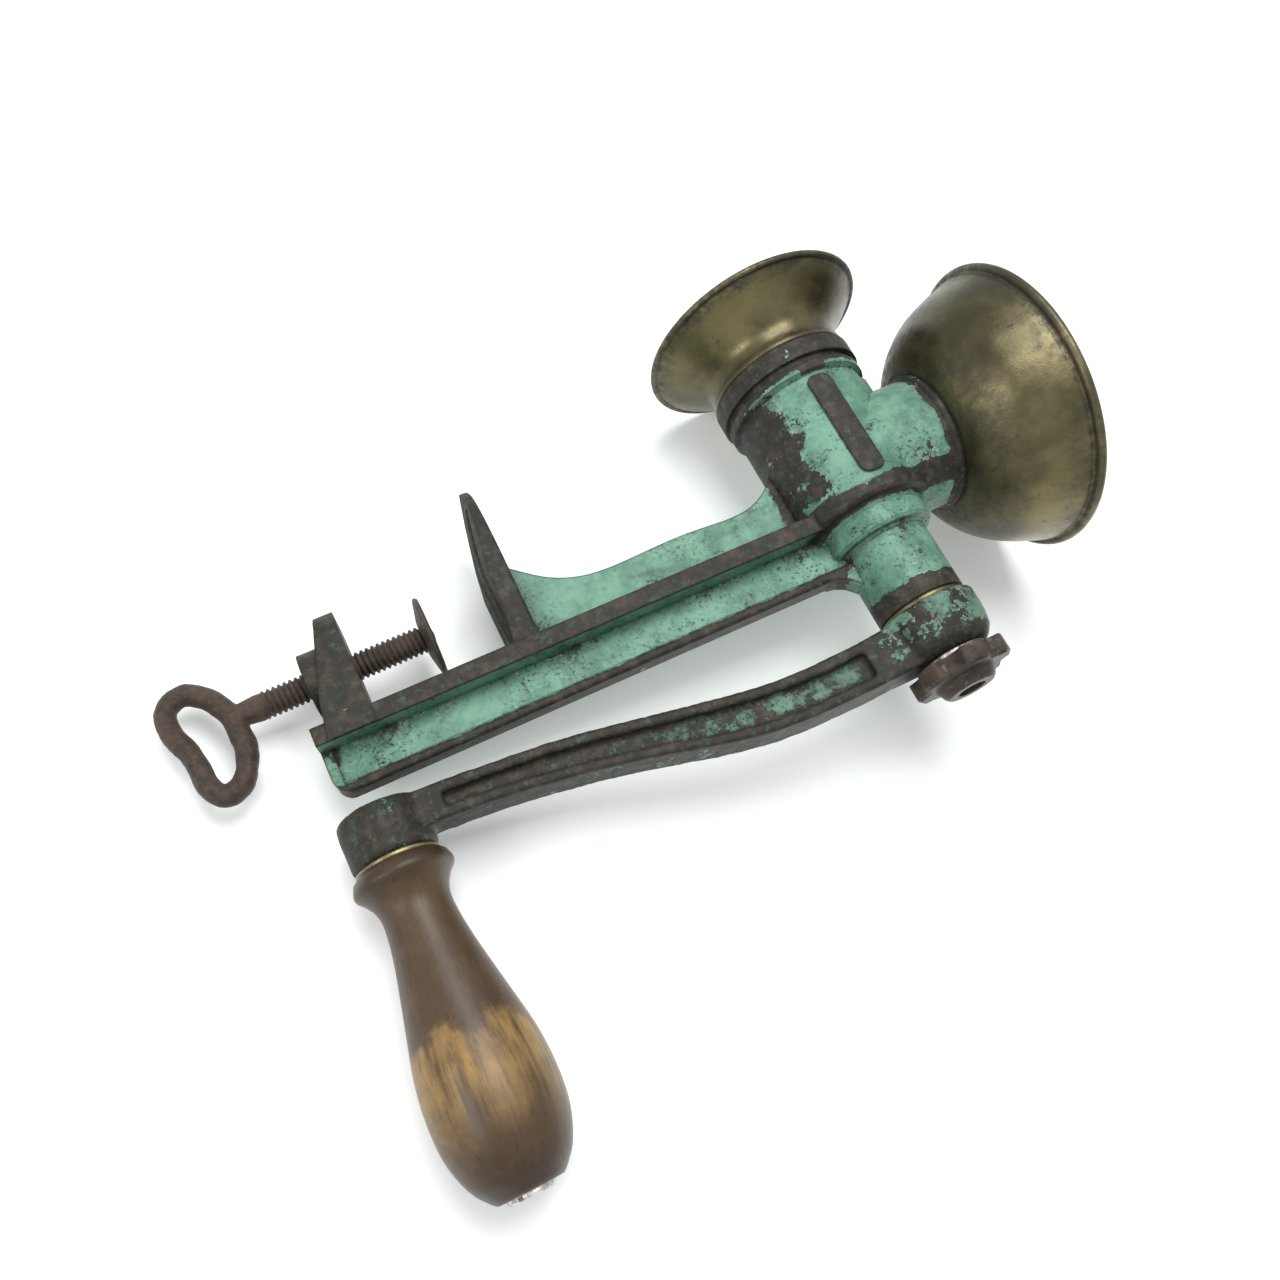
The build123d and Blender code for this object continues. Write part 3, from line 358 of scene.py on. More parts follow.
class Coat:
    """A material under construction: its principled shader, masks and place."""

    def __init__(self, name: str, effects: SharedEffects, soft_edge: float = 0.9) -> None:
        """Starts an empty material with the shared masks in it.

        Args:
            name: Name of the material.
            effects: Groups that the material uses.
            soft_edge: Radius that edges seem to have, in millimetres.
        """
        self.material = bpy.data.materials.new(name)
        self.material.use_nodes = True
        self.material.node_tree.nodes.clear()
        self.wiring = Wiring(self.material.node_tree)
        self.effects = effects
        output = self.wiring.put("ShaderNodeOutputMaterial")
        self.shader = self.wiring.put("ShaderNodeBsdfPrincipled")
        self.wiring.feed(output.inputs["Surface"], self.shader.outputs[0])
        place = self.wiring.put("ShaderNodeGroup", node_tree=effects.place)
        self.place, self.x, self.y, self.z = place.outputs
        relief = self.wiring.put("ShaderNodeGroup", node_tree=effects.relief)
        relief.inputs["Radius"].default_value = soft_edge * MM
        self.edge, self.corner, self.round_normal = relief.outputs

    def flaked(self, loss: Plug, size: float) -> tuple[Plug, Plug, Plug]:
        """Places the patches group.

        Args:
            loss: Share of the coat that is gone.
            size: Size of the patches in millimetres.

        Returns:
            Masks of the bare ground, of its margin and of the stain round it.
        """
        node = self.wiring.put("ShaderNodeGroup", node_tree=self.effects.flaking)
        self.wiring.feed(node.inputs["Loss"], loss)
        node.inputs["Patch Size"].default_value = size
        self.wiring.feed(node.inputs["Place"], self.place)
        return node.outputs["Bare"], node.outputs["Margin"], node.outputs["Halo"]

    def distance(self, centre: Vector, axis: str) -> Plug:
        """Distance from a line through centre along one axis.

        Args:
            centre: Point on the line in millimetres.
            axis: "Y" or "Z".

        Returns:
            The distance's socket in millimetres.
        """
        w = self.wiring
        other, middle = (self.z, centre.z) if axis == "Y" else (self.y, centre.y)
        across = w.maths("POWER", w.minus(self.x, centre.x), 2.0)
        along = w.maths("POWER", w.minus(other, middle), 2.0)
        return w.maths("SQRT", w.plus(across, along))

    def total(self, *masks: Plug) -> Plug:
        """Sum of masks kept within 0 and 1."""
        result = masks[0]
        for mask in masks[1:]:
            result = self.wiring.maths("ADD", result, mask, clamp=True)
        return result

    def share(self, mask: Plug, amount: float) -> Plug:
        """Mask times an amount."""
        return self.wiring.maths("MULTIPLY", mask, amount)

    def bump(self, height: Plug, depth: float, rounded: bool = True) -> None:
        """Feeds a height into the shader's normal.

        Args:
            height: Height between 0 and 1.
            depth: Height of 1 in millimetres.
            rounded: Whether the edges look rounded.
        """
        node = self.wiring.put("ShaderNodeBump")
        node.inputs["Distance"].default_value = depth * MM
        node.inputs["Strength"].default_value = 1.0
        self.wiring.feed(node.inputs["Height"], height)
        if rounded:
            self.wiring.feed(node.inputs["Normal"], self.round_normal)
        self.wiring.feed(self.shader.inputs["Normal"], node.outputs["Normal"])


# ------------------------------------------------------------------ finishes
@dataclass(frozen=True)
class ChippedPaint:
    """Turquoise paint, grimy and worn through to dark iron."""

    light: Colour = (0.170, 0.345, 0.250)
    deep: Colour = (0.048, 0.130, 0.084)
    grime: Colour = (0.016, 0.020, 0.014)
    chalk: Colour = (0.380, 0.500, 0.420)
    iron: Colour = (0.015, 0.014, 0.011)
    rust: Colour = (0.060, 0.043, 0.029)
    base_loss: float = 0.36
    patch: float = 9.0
    kept: float = 0.5

    def dress(self, coat: Coat, worn: Plug) -> None:
        """Lays the paint on a coat.

        Args:
            coat: Material being made.
            worn: Mask of places where the paint has mostly gone.
        """
        w = coat.wiring
        loss = coat.total(coat.share(worn, 0.42), coat.share(coat.edge, 0.36))
        loss = coat.total(loss, coat.share(coat.corner, 0.12))
        bare, margin, halo = coat.flaked(w.plus(loss, self.base_loss), self.patch)
        cloud = w.rise(w.grain(coat.place, 11.0, 7.0, 0.7), 0.36, 0.64)
        paint = w.blend(coat.share(cloud, 0.72), self.light, self.deep)
        # Painted shade: the paint goes to its deep tone in corners, by the ambient-occlusion
        # corner mask.
        paint = w.blend(coat.share(w.rise(coat.corner, 0.15, 0.75), 0.80), paint, self.deep)
        speck = w.rise(w.grain(coat.place, 1.15, 4.0, 0.75), 0.52, 0.62)
        zones = w.rise(w.grain(coat.place, 16.0, 4.0), 0.42, 0.60)
        zones = coat.total(
            coat.share(zones, 0.7), coat.share(halo, 0.6), coat.share(coat.corner, 0.5))
        paint = w.blend(w.times(speck, zones), paint, self.grime)
        smear = w.rise(w.grain(coat.place, 5.0, 8.0, 0.75), 0.44, 0.66)
        darkened = coat.total(coat.share(halo, 0.75), coat.share(worn, 0.8))
        smear = w.times(smear, darkened)
        paint = w.blend(smear, paint, self.grime)
        flecked = w.rise(w.grain(coat.place, 7.0, 3.0), 0.48, 0.60)
        flecked = w.times(margin, flecked)
        paint = w.blend(coat.share(flecked, 0.7), paint, self.chalk)
        brown = w.rise(w.grain(coat.place, 3.6, 8.0, 0.75), 0.44, 0.68)
        metal = w.blend(brown, self.iron, self.rust)
        dusty = w.rise(w.grain(coat.place, 2.6, 7.0, 0.78), 0.53, 0.66)
        metal = w.blend(coat.share(dusty, self.kept), metal, self.deep)
        w.feed(coat.shader.inputs["Base Color"], w.blend(bare, paint, metal))
        pits = w.grain(coat.place, 0.9, 5.0, 0.7)
        rough = w.plus(w.times(bare, 0.12), w.times(pits, 0.30))
        w.feed(coat.shader.inputs["Roughness"], w.plus(rough, 0.30))
        coat.shader.inputs["Specular IOR Level"].default_value = 0.28
        height = w.times(w.minus(1.0, bare), 0.55)
        height = w.plus(height, w.times(pits, 0.45))
        swell = w.grain(coat.place, 6.0, 3.0, 0.5)
        coat.bump(w.plus(height, w.times(swell, 1.0)), 0.36)


@dataclass(frozen=True)
class BareIron:
    """Iron without a coat, browned or rusted."""

    corrosion: Corrosion = Corrosion.BROWNED
    dark: Colour = (0.028, 0.024, 0.020)
    warm: Colour = (0.070, 0.046, 0.032)
    bright: Colour = (0.150, 0.135, 0.115)
    powder: Colour = (0.120, 0.066, 0.034)

    def dress(self, coat: Coat, green: Colour | None = None) -> None:
        """Lays the bare iron on a coat.

        Args:
            coat: Material being made.
            green: Colour of paint that is left in flecks, if any.
        """
        w = coat.wiring
        rusted = self.corrosion is Corrosion.RUSTED
        cloud = w.rise(w.grain(coat.place, 5.0, 7.0, 0.7), 0.36, 0.66)
        colour = w.blend(cloud, self.dark, self.warm)
        powdery = w.rise(w.grain(coat.place, 1.4, 6.0, 0.75), 0.46, 0.66)
        colour = w.blend(coat.share(powdery, 0.6 if rusted else 0.15), colour, self.powder)
        colour = w.blend(coat.share(coat.edge, 0.30 if rusted else 0.5), colour, self.bright)
        # Painted shade: the iron goes darker in corners, by the ambient-occlusion corner mask.
        colour = w.blend(coat.share(coat.corner, 0.7), colour, self.dark)
        if green is not None:
            kept = w.rise(w.grain(coat.place, 3.0, 7.0, 0.7), 0.57, 0.62)
            colour = w.blend(coat.share(kept, 0.8), colour, green)
        w.feed(coat.shader.inputs["Base Color"], colour)
        coat.shader.inputs["Metallic"].default_value = 0.2
        coat.shader.inputs["Specular IOR Level"].default_value = 0.35
        pits = w.grain(coat.place, 0.7, 6.0, 0.75)
        w.feed(coat.shader.inputs["Roughness"],
               w.maths("ADD", w.maths("MULTIPLY", pits, 0.4), 0.34 if rusted else 0.22))
        coat.bump(w.plus(pits, w.grain(coat.place, 3.5, 3.0, 0.5)), 0.28)


@dataclass(frozen=True)
class TarnishedBrass:
    """Spun brass gone olive brown, rubbed brighter here and there."""

    rubbed: Colour = (0.165, 0.140, 0.066)
    dull: Colour = (0.058, 0.050, 0.026)
    black: Colour = (0.014, 0.013, 0.010)

    def dress(self, coat: Coat, darkened: Plug | None = None) -> None:
        """Lays the brass on a coat.

        Args:
            coat: Material being made.
            darkened: Mask of places that go dark. It holds tarnish, and on the bowl also painted
                shade.
        """
        w = coat.wiring
        broad = w.rise(w.grain(coat.place, 26.0, 5.0, 0.6), 0.34, 0.66)
        colour = w.blend(broad, self.rubbed, self.dull)
        spots = w.rise(w.grain(coat.place, 3.2, 8.0, 0.72), 0.57, 0.70)
        patch = w.rise(w.grain(coat.place, 30.0, 4.0, 0.6), 0.40, 0.62)
        spots = w.times(spots, patch)
        # Ragged dark tarnish goes where the darkened mask is set; on the bowl this mask also holds
        # painted shade.
        if darkened is not None:
            ragged = w.rise(w.grain(coat.place, 2.6, 8.0, 0.72), 0.36, 0.64)
            spots = coat.total(spots, w.times(darkened, ragged))
        # Painted shade: the brass goes towards black in corners, by the ambient-occlusion corner
        # mask.
        spots = coat.total(spots, coat.share(coat.corner, 0.5))
        colour = w.blend(coat.share(spots, 0.86), colour, self.black)
        w.feed(coat.shader.inputs["Base Color"], colour)
        w.feed(coat.shader.inputs["Metallic"],
               w.maths("SUBTRACT", 0.80, coat.share(spots, 0.5)))
        haze = w.grain(coat.place, 8.0, 7.0, 0.7)
        rough = w.plus(w.times(haze, 0.26), coat.share(spots, 0.22))
        w.feed(coat.shader.inputs["Roughness"], w.plus(rough, 0.17))
        height = w.plus(w.grain(coat.place, 0.8, 5.0, 0.7), coat.share(spots, 0.5))
        coat.bump(height, 0.05)


@dataclass(frozen=True)
class HandledWood:
    """Wood with a dark stain that hands have worn pale on the bulb."""

    stain: Colour = (0.080, 0.046, 0.021)
    worn: Colour = (0.355, 0.215, 0.072)
    soot: Colour = (0.020, 0.011, 0.006)

    def dress(self, coat: Coat, pale: Plug, dark: Plug) -> None:
        """Lays the wood on a coat, grain along Y.

        Args:
            coat: Material being made.
            pale: Mask of the worn zone.
            dark: Mask of the sooty zones.
        """
        w = coat.wiring
        stretch = w.put("ShaderNodeMapping")
        w.feed(stretch.inputs["Vector"], coat.place)
        stretch.inputs["Scale"].default_value = (1.0, 0.085, 1.0)
        fibre = w.grain(stretch.outputs[0], 1.1, 6.0, 0.7)
        streak = w.grain(stretch.outputs[0], 4.0, 5.0, 0.6)
        cloud = w.rise(w.grain(coat.place, 13.0, 6.0, 0.6), 0.36, 0.64)
        worn = w.times(pale, w.rise(streak, 0.30, 0.55))
        colour = w.blend(w.times(worn, 0.92), self.stain, self.worn)
        shade = coat.total(coat.share(cloud, 0.42), coat.share(dark, 0.55))
        colour = w.blend(shade, colour, self.soot)
        lines = w.rise(fibre, 0.50, 0.68)
        colour = w.blend(coat.share(lines, 0.45), colour, self.soot)
        w.feed(coat.shader.inputs["Base Color"], colour)
        w.feed(coat.shader.inputs["Roughness"],
               w.maths("ADD", w.maths("MULTIPLY", streak, 0.30), 0.26))
        coat.shader.inputs["Specular IOR Level"].default_value = 0.32
        coat.shader.inputs["Coat Weight"].default_value = 0.10
        coat.shader.inputs["Coat Roughness"].default_value = 0.36
        coat.bump(w.plus(fibre, coat.share(cloud, 0.6)), 0.07)


@dataclass(frozen=True)
class WornSteel:
    """Plain steel, scratched and a little browned."""

    clean: Colour = (0.42, 0.40, 0.36)
    brown: Colour = (0.085, 0.058, 0.040)

    def dress(self, coat: Coat) -> None:
        """Lays the steel on a coat.

        Args:
            coat: Material being made.
        """
        w = coat.wiring
        cloud = w.rise(w.grain(coat.place, 2.8, 7.0, 0.72), 0.40, 0.64)
        # Painted shade: the steel goes browner in corners, by the ambient-occlusion corner mask.
        cloud = coat.total(cloud, coat.share(coat.corner, 0.6))
        w.feed(coat.shader.inputs["Base Color"], w.blend(cloud, self.clean, self.brown))
        coat.shader.inputs["Metallic"].default_value = 0.85
        w.feed(coat.shader.inputs["Roughness"],
               w.maths("ADD", w.maths("MULTIPLY", cloud, 0.3), 0.26))
        coat.bump(w.grain(coat.place, 0.5, 5.0, 0.7), 0.05)


# ------------------------------------------------------------------ mesh making
def smooth_line(points: list[tuple[float, float]], steps: int = 8) -> list[tuple[float, float]]:
    """Runs a smooth open line through points.

    Args:
        points: Points in order.
        steps: Divisions between two points.

    Returns:
        The divided line, ends included.
    """
    whole = [points[0], *points, points[-1]]
    line = []
    for a, b, c, d in zip(whole, whole[1:], whole[2:], whole[3:]):
        for i in range(steps):
            t = i / steps
            line.append(tuple(
                0.5 * (2 * q + (r - p) * t + (2 * p - 5 * q + 4 * r - s) * t * t
                       + (3 * q - p - 3 * r + s) * t ** 3)
                for p, q, r, s in zip(a, b, c, d)))
    return [*line, points[-1]]


def bead(centre: tuple[float, float], radius: float, start: float, end: float,
         count: int = 14) -> list[tuple[float, float]]:
    """Points round a rolled edge.

    Args:
        centre: Middle of the roll.
        radius: Radius of the roll.
        start: First angle in degrees.
        end: Last angle in degrees.
        count: Divisions.

    Returns:
        The points in order.
    """
    angles = [math.radians(start + (end - start) * i / count) for i in range(count + 1)]
    return [(centre[0] + radius * math.cos(a), centre[1] + radius * math.sin(a)) for a in angles]


def chain_mesh(name: str, points: list[tuple[float, float]], closed: bool) -> bpy.types.Object:
    """Makes a line of edges in the XY plane, in metres.

    Args:
        name: Name of the object.
        points: Points in millimetres.
        closed: Whether the last point joins the first.

    Returns:
        The object that a geometry tree reads.
    """
    mesh = bpy.data.meshes.new(name)
    rows = [(a * MM, b * MM, 0.0) for a, b in points]
    edges = [(i, i + 1) for i in range(len(rows) - 1)]
    if closed:
        edges.append((len(rows) - 1, 0))
    mesh.from_pydata(rows, edges, [])
    made = bpy.data.objects.new(name, mesh)
    bpy.context.scene.collection.objects.link(made)
    return made


class GeometryTree:
    """A geometry node tree with named number inputs."""

    def __init__(self, name: str, sizes: dict[str, float], counts: dict[str, int]) -> None:
        """Starts the tree.

        Args:
            name: Name of the tree.
            sizes: Default value of each number input.
            counts: Default value of each whole number input.
        """
        self.tree = bpy.data.node_groups.new(name, "GeometryNodeTree")
        face = self.tree.interface
        face.new_socket("Geometry", in_out="INPUT", socket_type="NodeSocketGeometry")
        self.keys: dict[str, str] = {}
        for label, value in sizes.items():
            item = face.new_socket(label, in_out="INPUT", socket_type="NodeSocketFloat")
            item.default_value = value
            self.keys[label] = item.identifier
        for label, value in counts.items():
            item = face.new_socket(label, in_out="INPUT", socket_type="NodeSocketInt")
            item.default_value = value
            self.keys[label] = item.identifier
        item = face.new_socket("Finish", in_out="INPUT", socket_type="NodeSocketMaterial")
        self.keys["Finish"] = item.identifier
        face.new_socket("Geometry", in_out="OUTPUT", socket_type="NodeSocketGeometry")
        self.wiring = Wiring(self.tree)
        self.entry = self.wiring.put("NodeGroupInput")
        self.exit = self.wiring.put("NodeGroupOutput")

    def close(self, mesh: Plug, weld: float) -> None:
        """Ends the tree: welds, shades, realizes and sets the material.

        Args:
            mesh: Socket of the finished mesh.
            weld: Distance within which points merge, in metres.
        """
        w = self.wiring
        merged = w.put("GeometryNodeMergeByDistance")
        w.feed(merged.inputs["Geometry"], mesh)
        merged.inputs["Distance"].default_value = weld
        smooth = w.put("GeometryNodeSetShadeSmooth")
        w.feed(smooth.inputs[0], merged.outputs[0])
        real = w.put("GeometryNodeRealizeInstances")
        w.feed(real.inputs[0], smooth.outputs[0])
        finish = w.put("GeometryNodeSetMaterial")
        w.feed(finish.inputs["Geometry"], real.outputs[0])
        w.feed(finish.inputs["Material"], self.entry.outputs["Finish"])
        w.feed(self.exit.inputs[0], finish.outputs[0])

    def run(self, source: bpy.types.Object, name: str,
            values: dict[str, object]) -> bpy.types.Object:
        """Applies the tree to a source object and keeps a plain mesh.

        Args:
            source: Object whose geometry goes in; it is removed.
            name: Name of the new piece.
            values: Input values by name.

        Returns:
            The new piece at the origin.
        """
        modifier = source.modifiers.new(name, "NODES")
        modifier.node_group = self.tree
        for label, value in values.items():
            modifier[self.keys[label]] = value
        graph = bpy.context.evaluated_depsgraph_get()
        mesh = bpy.data.meshes.new_from_object(source.evaluated_get(graph), depsgraph=graph)
        source.modifiers.remove(modifier)
        bpy.data.objects.remove(source, do_unlink=True)
        mesh.name = name
        piece = bpy.data.objects.new(name, mesh)
        bpy.context.scene.collection.objects.link(piece)
        return piece


def lathe_tree() -> GeometryTree:
    """Tree that turns a closed outline round an axis parallel to Y or Z.

    Returns:
        The tree. The outline's X is the radius and its Y the height.
    """
    made = GeometryTree("turned_on_the_lathe", {"Dent": 0.0, "Dent Size": 0.02},
                        {"Round": 128, "Along": 200})
    w = made.wiring
    curve = w.put("GeometryNodeMeshToCurve")
    w.feed(curve.inputs[0], made.entry.outputs["Geometry"])
    grid = w.put("GeometryNodeMeshGrid")
    grid.inputs["Size X"].default_value = 1.0
    grid.inputs["Size Y"].default_value = 1.0
    w.feed(grid.inputs["Vertices X"], made.entry.outputs["Along"])
    w.feed(grid.inputs["Vertices Y"], made.entry.outputs["Round"])
    place = w.put("ShaderNodeSeparateXYZ")
    w.feed(place.inputs[0], w.put("GeometryNodeInputPosition").outputs[0])
    along = w.plus(place.outputs["X"], 0.5)
    turn = w.times(w.plus(place.outputs["Y"], 0.5), 2 * math.pi)
    sample = w.put("GeometryNodeSampleCurve", mode="FACTOR")
    w.feed(sample.inputs["Curves"], curve.outputs[0])
    w.feed(sample.inputs["Factor"], along)
    point = w.put("ShaderNodeSeparateXYZ")
    w.feed(point.inputs[0], sample.outputs["Position"])
    spot = w.put("ShaderNodeCombineXYZ")
    w.feed(spot.inputs["X"], w.times(point.outputs["X"], w.maths("COSINE", turn)))
    w.feed(spot.inputs["Y"], w.times(point.outputs["X"], w.maths("SINE", turn)))
    w.feed(spot.inputs["Z"], point.outputs["Y"])
    dents = w.put("ShaderNodeTexNoise", noise_dimensions="3D")
    w.feed(dents.inputs["Vector"], spot.outputs[0])
    w.feed(dents.inputs["Scale"], w.maths("DIVIDE", 1.0, made.entry.outputs["Dent Size"]))
    dents.inputs["Detail"].default_value = 1.0
    push = w.maths("MULTIPLY", w.maths("SUBTRACT", dents.outputs["Fac"], 0.5),
                   made.entry.outputs["Dent"])
    factor = w.plus(1.0, push)
    bent = w.put("ShaderNodeVectorMath", operation="MULTIPLY")
    w.feed(bent.inputs[0], spot.outputs[0])
    both = w.put("ShaderNodeCombineXYZ")
    w.feed(both.inputs["X"], factor)
    w.feed(both.inputs["Y"], factor)
    both.inputs["Z"].default_value = 1.0
    w.feed(bent.inputs[1], both.outputs[0])
    moved = w.put("GeometryNodeSetPosition")
    w.feed(moved.inputs["Geometry"], grid.outputs["Mesh"])
    w.feed(moved.inputs["Position"], bent.outputs[0])
    made.close(moved.outputs[0], 0.02 * MM)
    return made


def thread_tree() -> GeometryTree:
    """Tree that cuts a helical thread on a rod along Z.

    Returns:
        The tree. Its Z runs down from the top of the rod.
    """
    made = GeometryTree(
        "helical_thread",
        {"Root": 0.003, "Crest": 0.00375, "Pitch": 0.0015, "Top": 0.0, "Length": 0.04},
        {"Round": 48, "Along": 260})
    w = made.wiring
    grid = w.put("GeometryNodeMeshGrid")
    grid.inputs["Size X"].default_value = 1.0
    grid.inputs["Size Y"].default_value = 1.0
    w.feed(grid.inputs["Vertices X"], made.entry.outputs["Along"])
    w.feed(grid.inputs["Vertices Y"], made.entry.outputs["Round"])
    place = w.put("ShaderNodeSeparateXYZ")
    w.feed(place.inputs[0], w.put("GeometryNodeInputPosition").outputs[0])
    along = w.plus(place.outputs["X"], 0.5)
    part = w.plus(place.outputs["Y"], 0.5)
    drop = w.times(along, made.entry.outputs["Length"])
    turns = w.maths("DIVIDE", drop, made.entry.outputs["Pitch"])
    phase = w.maths("FRACT", w.plus(turns, part))
    tooth = w.maths("SUBTRACT", 1.0, w.maths("ABSOLUTE", w.maths(
        "SUBTRACT", w.maths("MULTIPLY", phase, 2.0), 1.0)))
    tooth = w.rise(tooth, 0.12, 0.80)
    depth = w.minus(made.entry.outputs["Crest"], made.entry.outputs["Root"])
    radius = w.plus(made.entry.outputs["Root"], w.times(tooth, depth))
    inside = w.maths("MULTIPLY", w.maths("GREATER_THAN", along, 0.0001),
                     w.maths("LESS_THAN", along, 0.9999))
    radius = w.times(radius, inside)
    turn = w.times(part, 2 * math.pi)
    spot = w.put("ShaderNodeCombineXYZ")
    w.feed(spot.inputs["X"], w.times(radius, w.maths("COSINE", turn)))
    w.feed(spot.inputs["Y"], w.times(radius, w.maths("SINE", turn)))
    w.feed(spot.inputs["Z"], w.minus(made.entry.outputs["Top"], drop))
    moved = w.put("GeometryNodeSetPosition")
    w.feed(moved.inputs["Geometry"], grid.outputs["Mesh"])
    w.feed(moved.inputs["Position"], spot.outputs[0])
    made.close(moved.outputs[0], 0.01 * MM)
    return made


def rod_tree() -> GeometryTree:
    """Tree that runs a round bar of uneven thickness along a closed line.

    Returns:
        The tree.
    """
    made = GeometryTree("bent_round_bar", {"Thickness": 0.003, "Uneven": 0.08}, {"Steps": 160})
    w = made.wiring
    curve = w.put("GeometryNodeMeshToCurve")
    w.feed(curve.inputs[0], made.entry.outputs["Geometry"])
    even = w.put("GeometryNodeResampleCurve")
    w.feed(even.inputs["Curve"], curve.outputs[0])
    w.feed(even.inputs["Count"], made.entry.outputs["Steps"])
    wobble = w.put("ShaderNodeTexNoise")
    w.feed(wobble.inputs["Vector"], w.put("GeometryNodeInputPosition").outputs[0])
    wobble.inputs["Scale"].default_value = 110.0
    swing = w.maths("MULTIPLY", w.maths("SUBTRACT", wobble.outputs["Fac"], 0.5),
                    w.maths("MULTIPLY", made.entry.outputs["Uneven"], 2.0))
    sized = w.put("GeometryNodeSetCurveRadius")
    w.feed(sized.inputs["Curve"], even.outputs[0])
    w.feed(sized.inputs["Radius"], w.plus(swing, 1.0))
    ring = w.put("GeometryNodeCurvePrimitiveCircle")
    ring.inputs["Resolution"].default_value = 24
    w.feed(ring.inputs["Radius"], made.entry.outputs["Thickness"])
    bar = w.put("GeometryNodeCurveToMesh")
    w.feed(bar.inputs["Curve"], sized.outputs[0])
    w.feed(bar.inputs["Profile Curve"], ring.outputs[0])
    if "Scale" in bar.inputs:
        radius = w.put("GeometryNodeInputRadius")
        w.feed(bar.inputs["Scale"], radius.outputs[0])
    made.close(bar.outputs[0], 0.01 * MM)
    return made


def settle(piece: bpy.types.Object, place: Matrix) -> None:
    """Moves a mesh to its place and turns its faces outwards.

    Args:
        piece: Object at the origin.
        place: Where its mesh goes, in metres.
    """
    piece.data.transform(place)
    work = bmesh.new()
    work.from_mesh(piece.data)
    bmesh.ops.remove_doubles(work, verts=work.verts, dist=1e-6)
    bmesh.ops.dissolve_degenerate(work, edges=work.edges, dist=1e-7)
    bmesh.ops.recalc_face_normals(work, faces=work.faces)
    if work.calc_volume(signed=True) < 0:
        bmesh.ops.reverse_faces(work, faces=work.faces)
    for face in work.faces:
        face.smooth = True
    work.to_mesh(piece.data)
    work.free()


def roughen(mesh: bpy.types.Mesh, waves: tuple[tuple[float, float], ...],
            sink: float = 0.0) -> None:
    """Moves a fine mesh in and out along its normals, and shades it smooth.

    Args:
        mesh: Mesh that is changed.
        waves: Frequency per millimetre and height in millimetres of each noise.
        sink: How far the whole skin goes in, in millimetres.
    """
    normals = [vertex.normal.copy() for vertex in mesh.vertices]
    for vertex, normal in zip(mesh.vertices, normals):
        spot = vertex.co / MM
        lift = sum(noise.noise(spot * often) * height for often, height in waves) - sink
        vertex.co += normal * lift * MM
    for face in mesh.polygons:
        face.use_smooth = True


def soften(frame: dict, node: str, name: str, voxel: float, passes: int) -> bpy.types.Object:
    """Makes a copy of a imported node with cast, rounded edges and an uneven skin.

    Args:
        node: Name of the node.
        name: Name of the new piece.
        voxel: Size of the skin's faces in millimetres.
        passes: Rounds of smoothing.

    Returns:
        The new piece at the origin.
    """
    shown = frame["nodes"][node]
    work = bmesh.new()
    work.from_mesh(shown.data)
    bmesh.ops.remove_doubles(work, verts=work.verts, dist=1e-6)
    mesh = bpy.data.meshes.new(name)
    work.to_mesh(mesh)
    work.free()
    raw = bpy.data.objects.new(name, mesh)
    bpy.context.scene.collection.objects.link(raw)
    melt = raw.modifiers.new("melt", "REMESH")
    melt.mode = "VOXEL"
    melt.voxel_size = voxel * MM
    ease = raw.modifiers.new("ease", "SMOOTH")
    ease.iterations = passes
    graph = bpy.context.evaluated_depsgraph_get()
    skin = bpy.data.meshes.new_from_object(raw.evaluated_get(graph), depsgraph=graph)
    raw.modifiers.clear()
    roughen(skin, ((0.22, 0.16), (0.80, 0.056)), 0.064)
    raw.data = skin
    return raw


def stand_in(piece: bpy.types.Object, body: str, node: str) -> None:
    """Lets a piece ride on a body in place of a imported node.

    Args:
        piece: Finished piece at the origin.
        body: Body that it moves with.
        node: Node that it stands for.
    """
    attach(piece, body)
    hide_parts(node)
    LOG.info("%s stands for %s with %d faces", piece.name, node, len(piece.data.polygons))


def paint_node(frame: dict, node: str, material: bpy.types.Material) -> None:
    """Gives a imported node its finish.

    Args:
        node: Name of the node.
        material: Finish to put on it.
    """
    shown = frame["nodes"][node]
    if not shown.material_slots:
        shown.data.materials.append(material)
    for slot in shown.material_slots:
        slot.material = material
    LOG.info("node %s wears %s", node, material.name)


def line_up(axis: str) -> Matrix:
    """Turn that sends a lathe's Z to the part's axis.

    Args:
        axis: "Y" for the shaft's direction, "Z" for upright.

    Returns:
        The turn.
    """
    return Matrix.Rotation(-math.pi / 2, 4, "X") if axis == "Y" else Matrix.Identity(4)


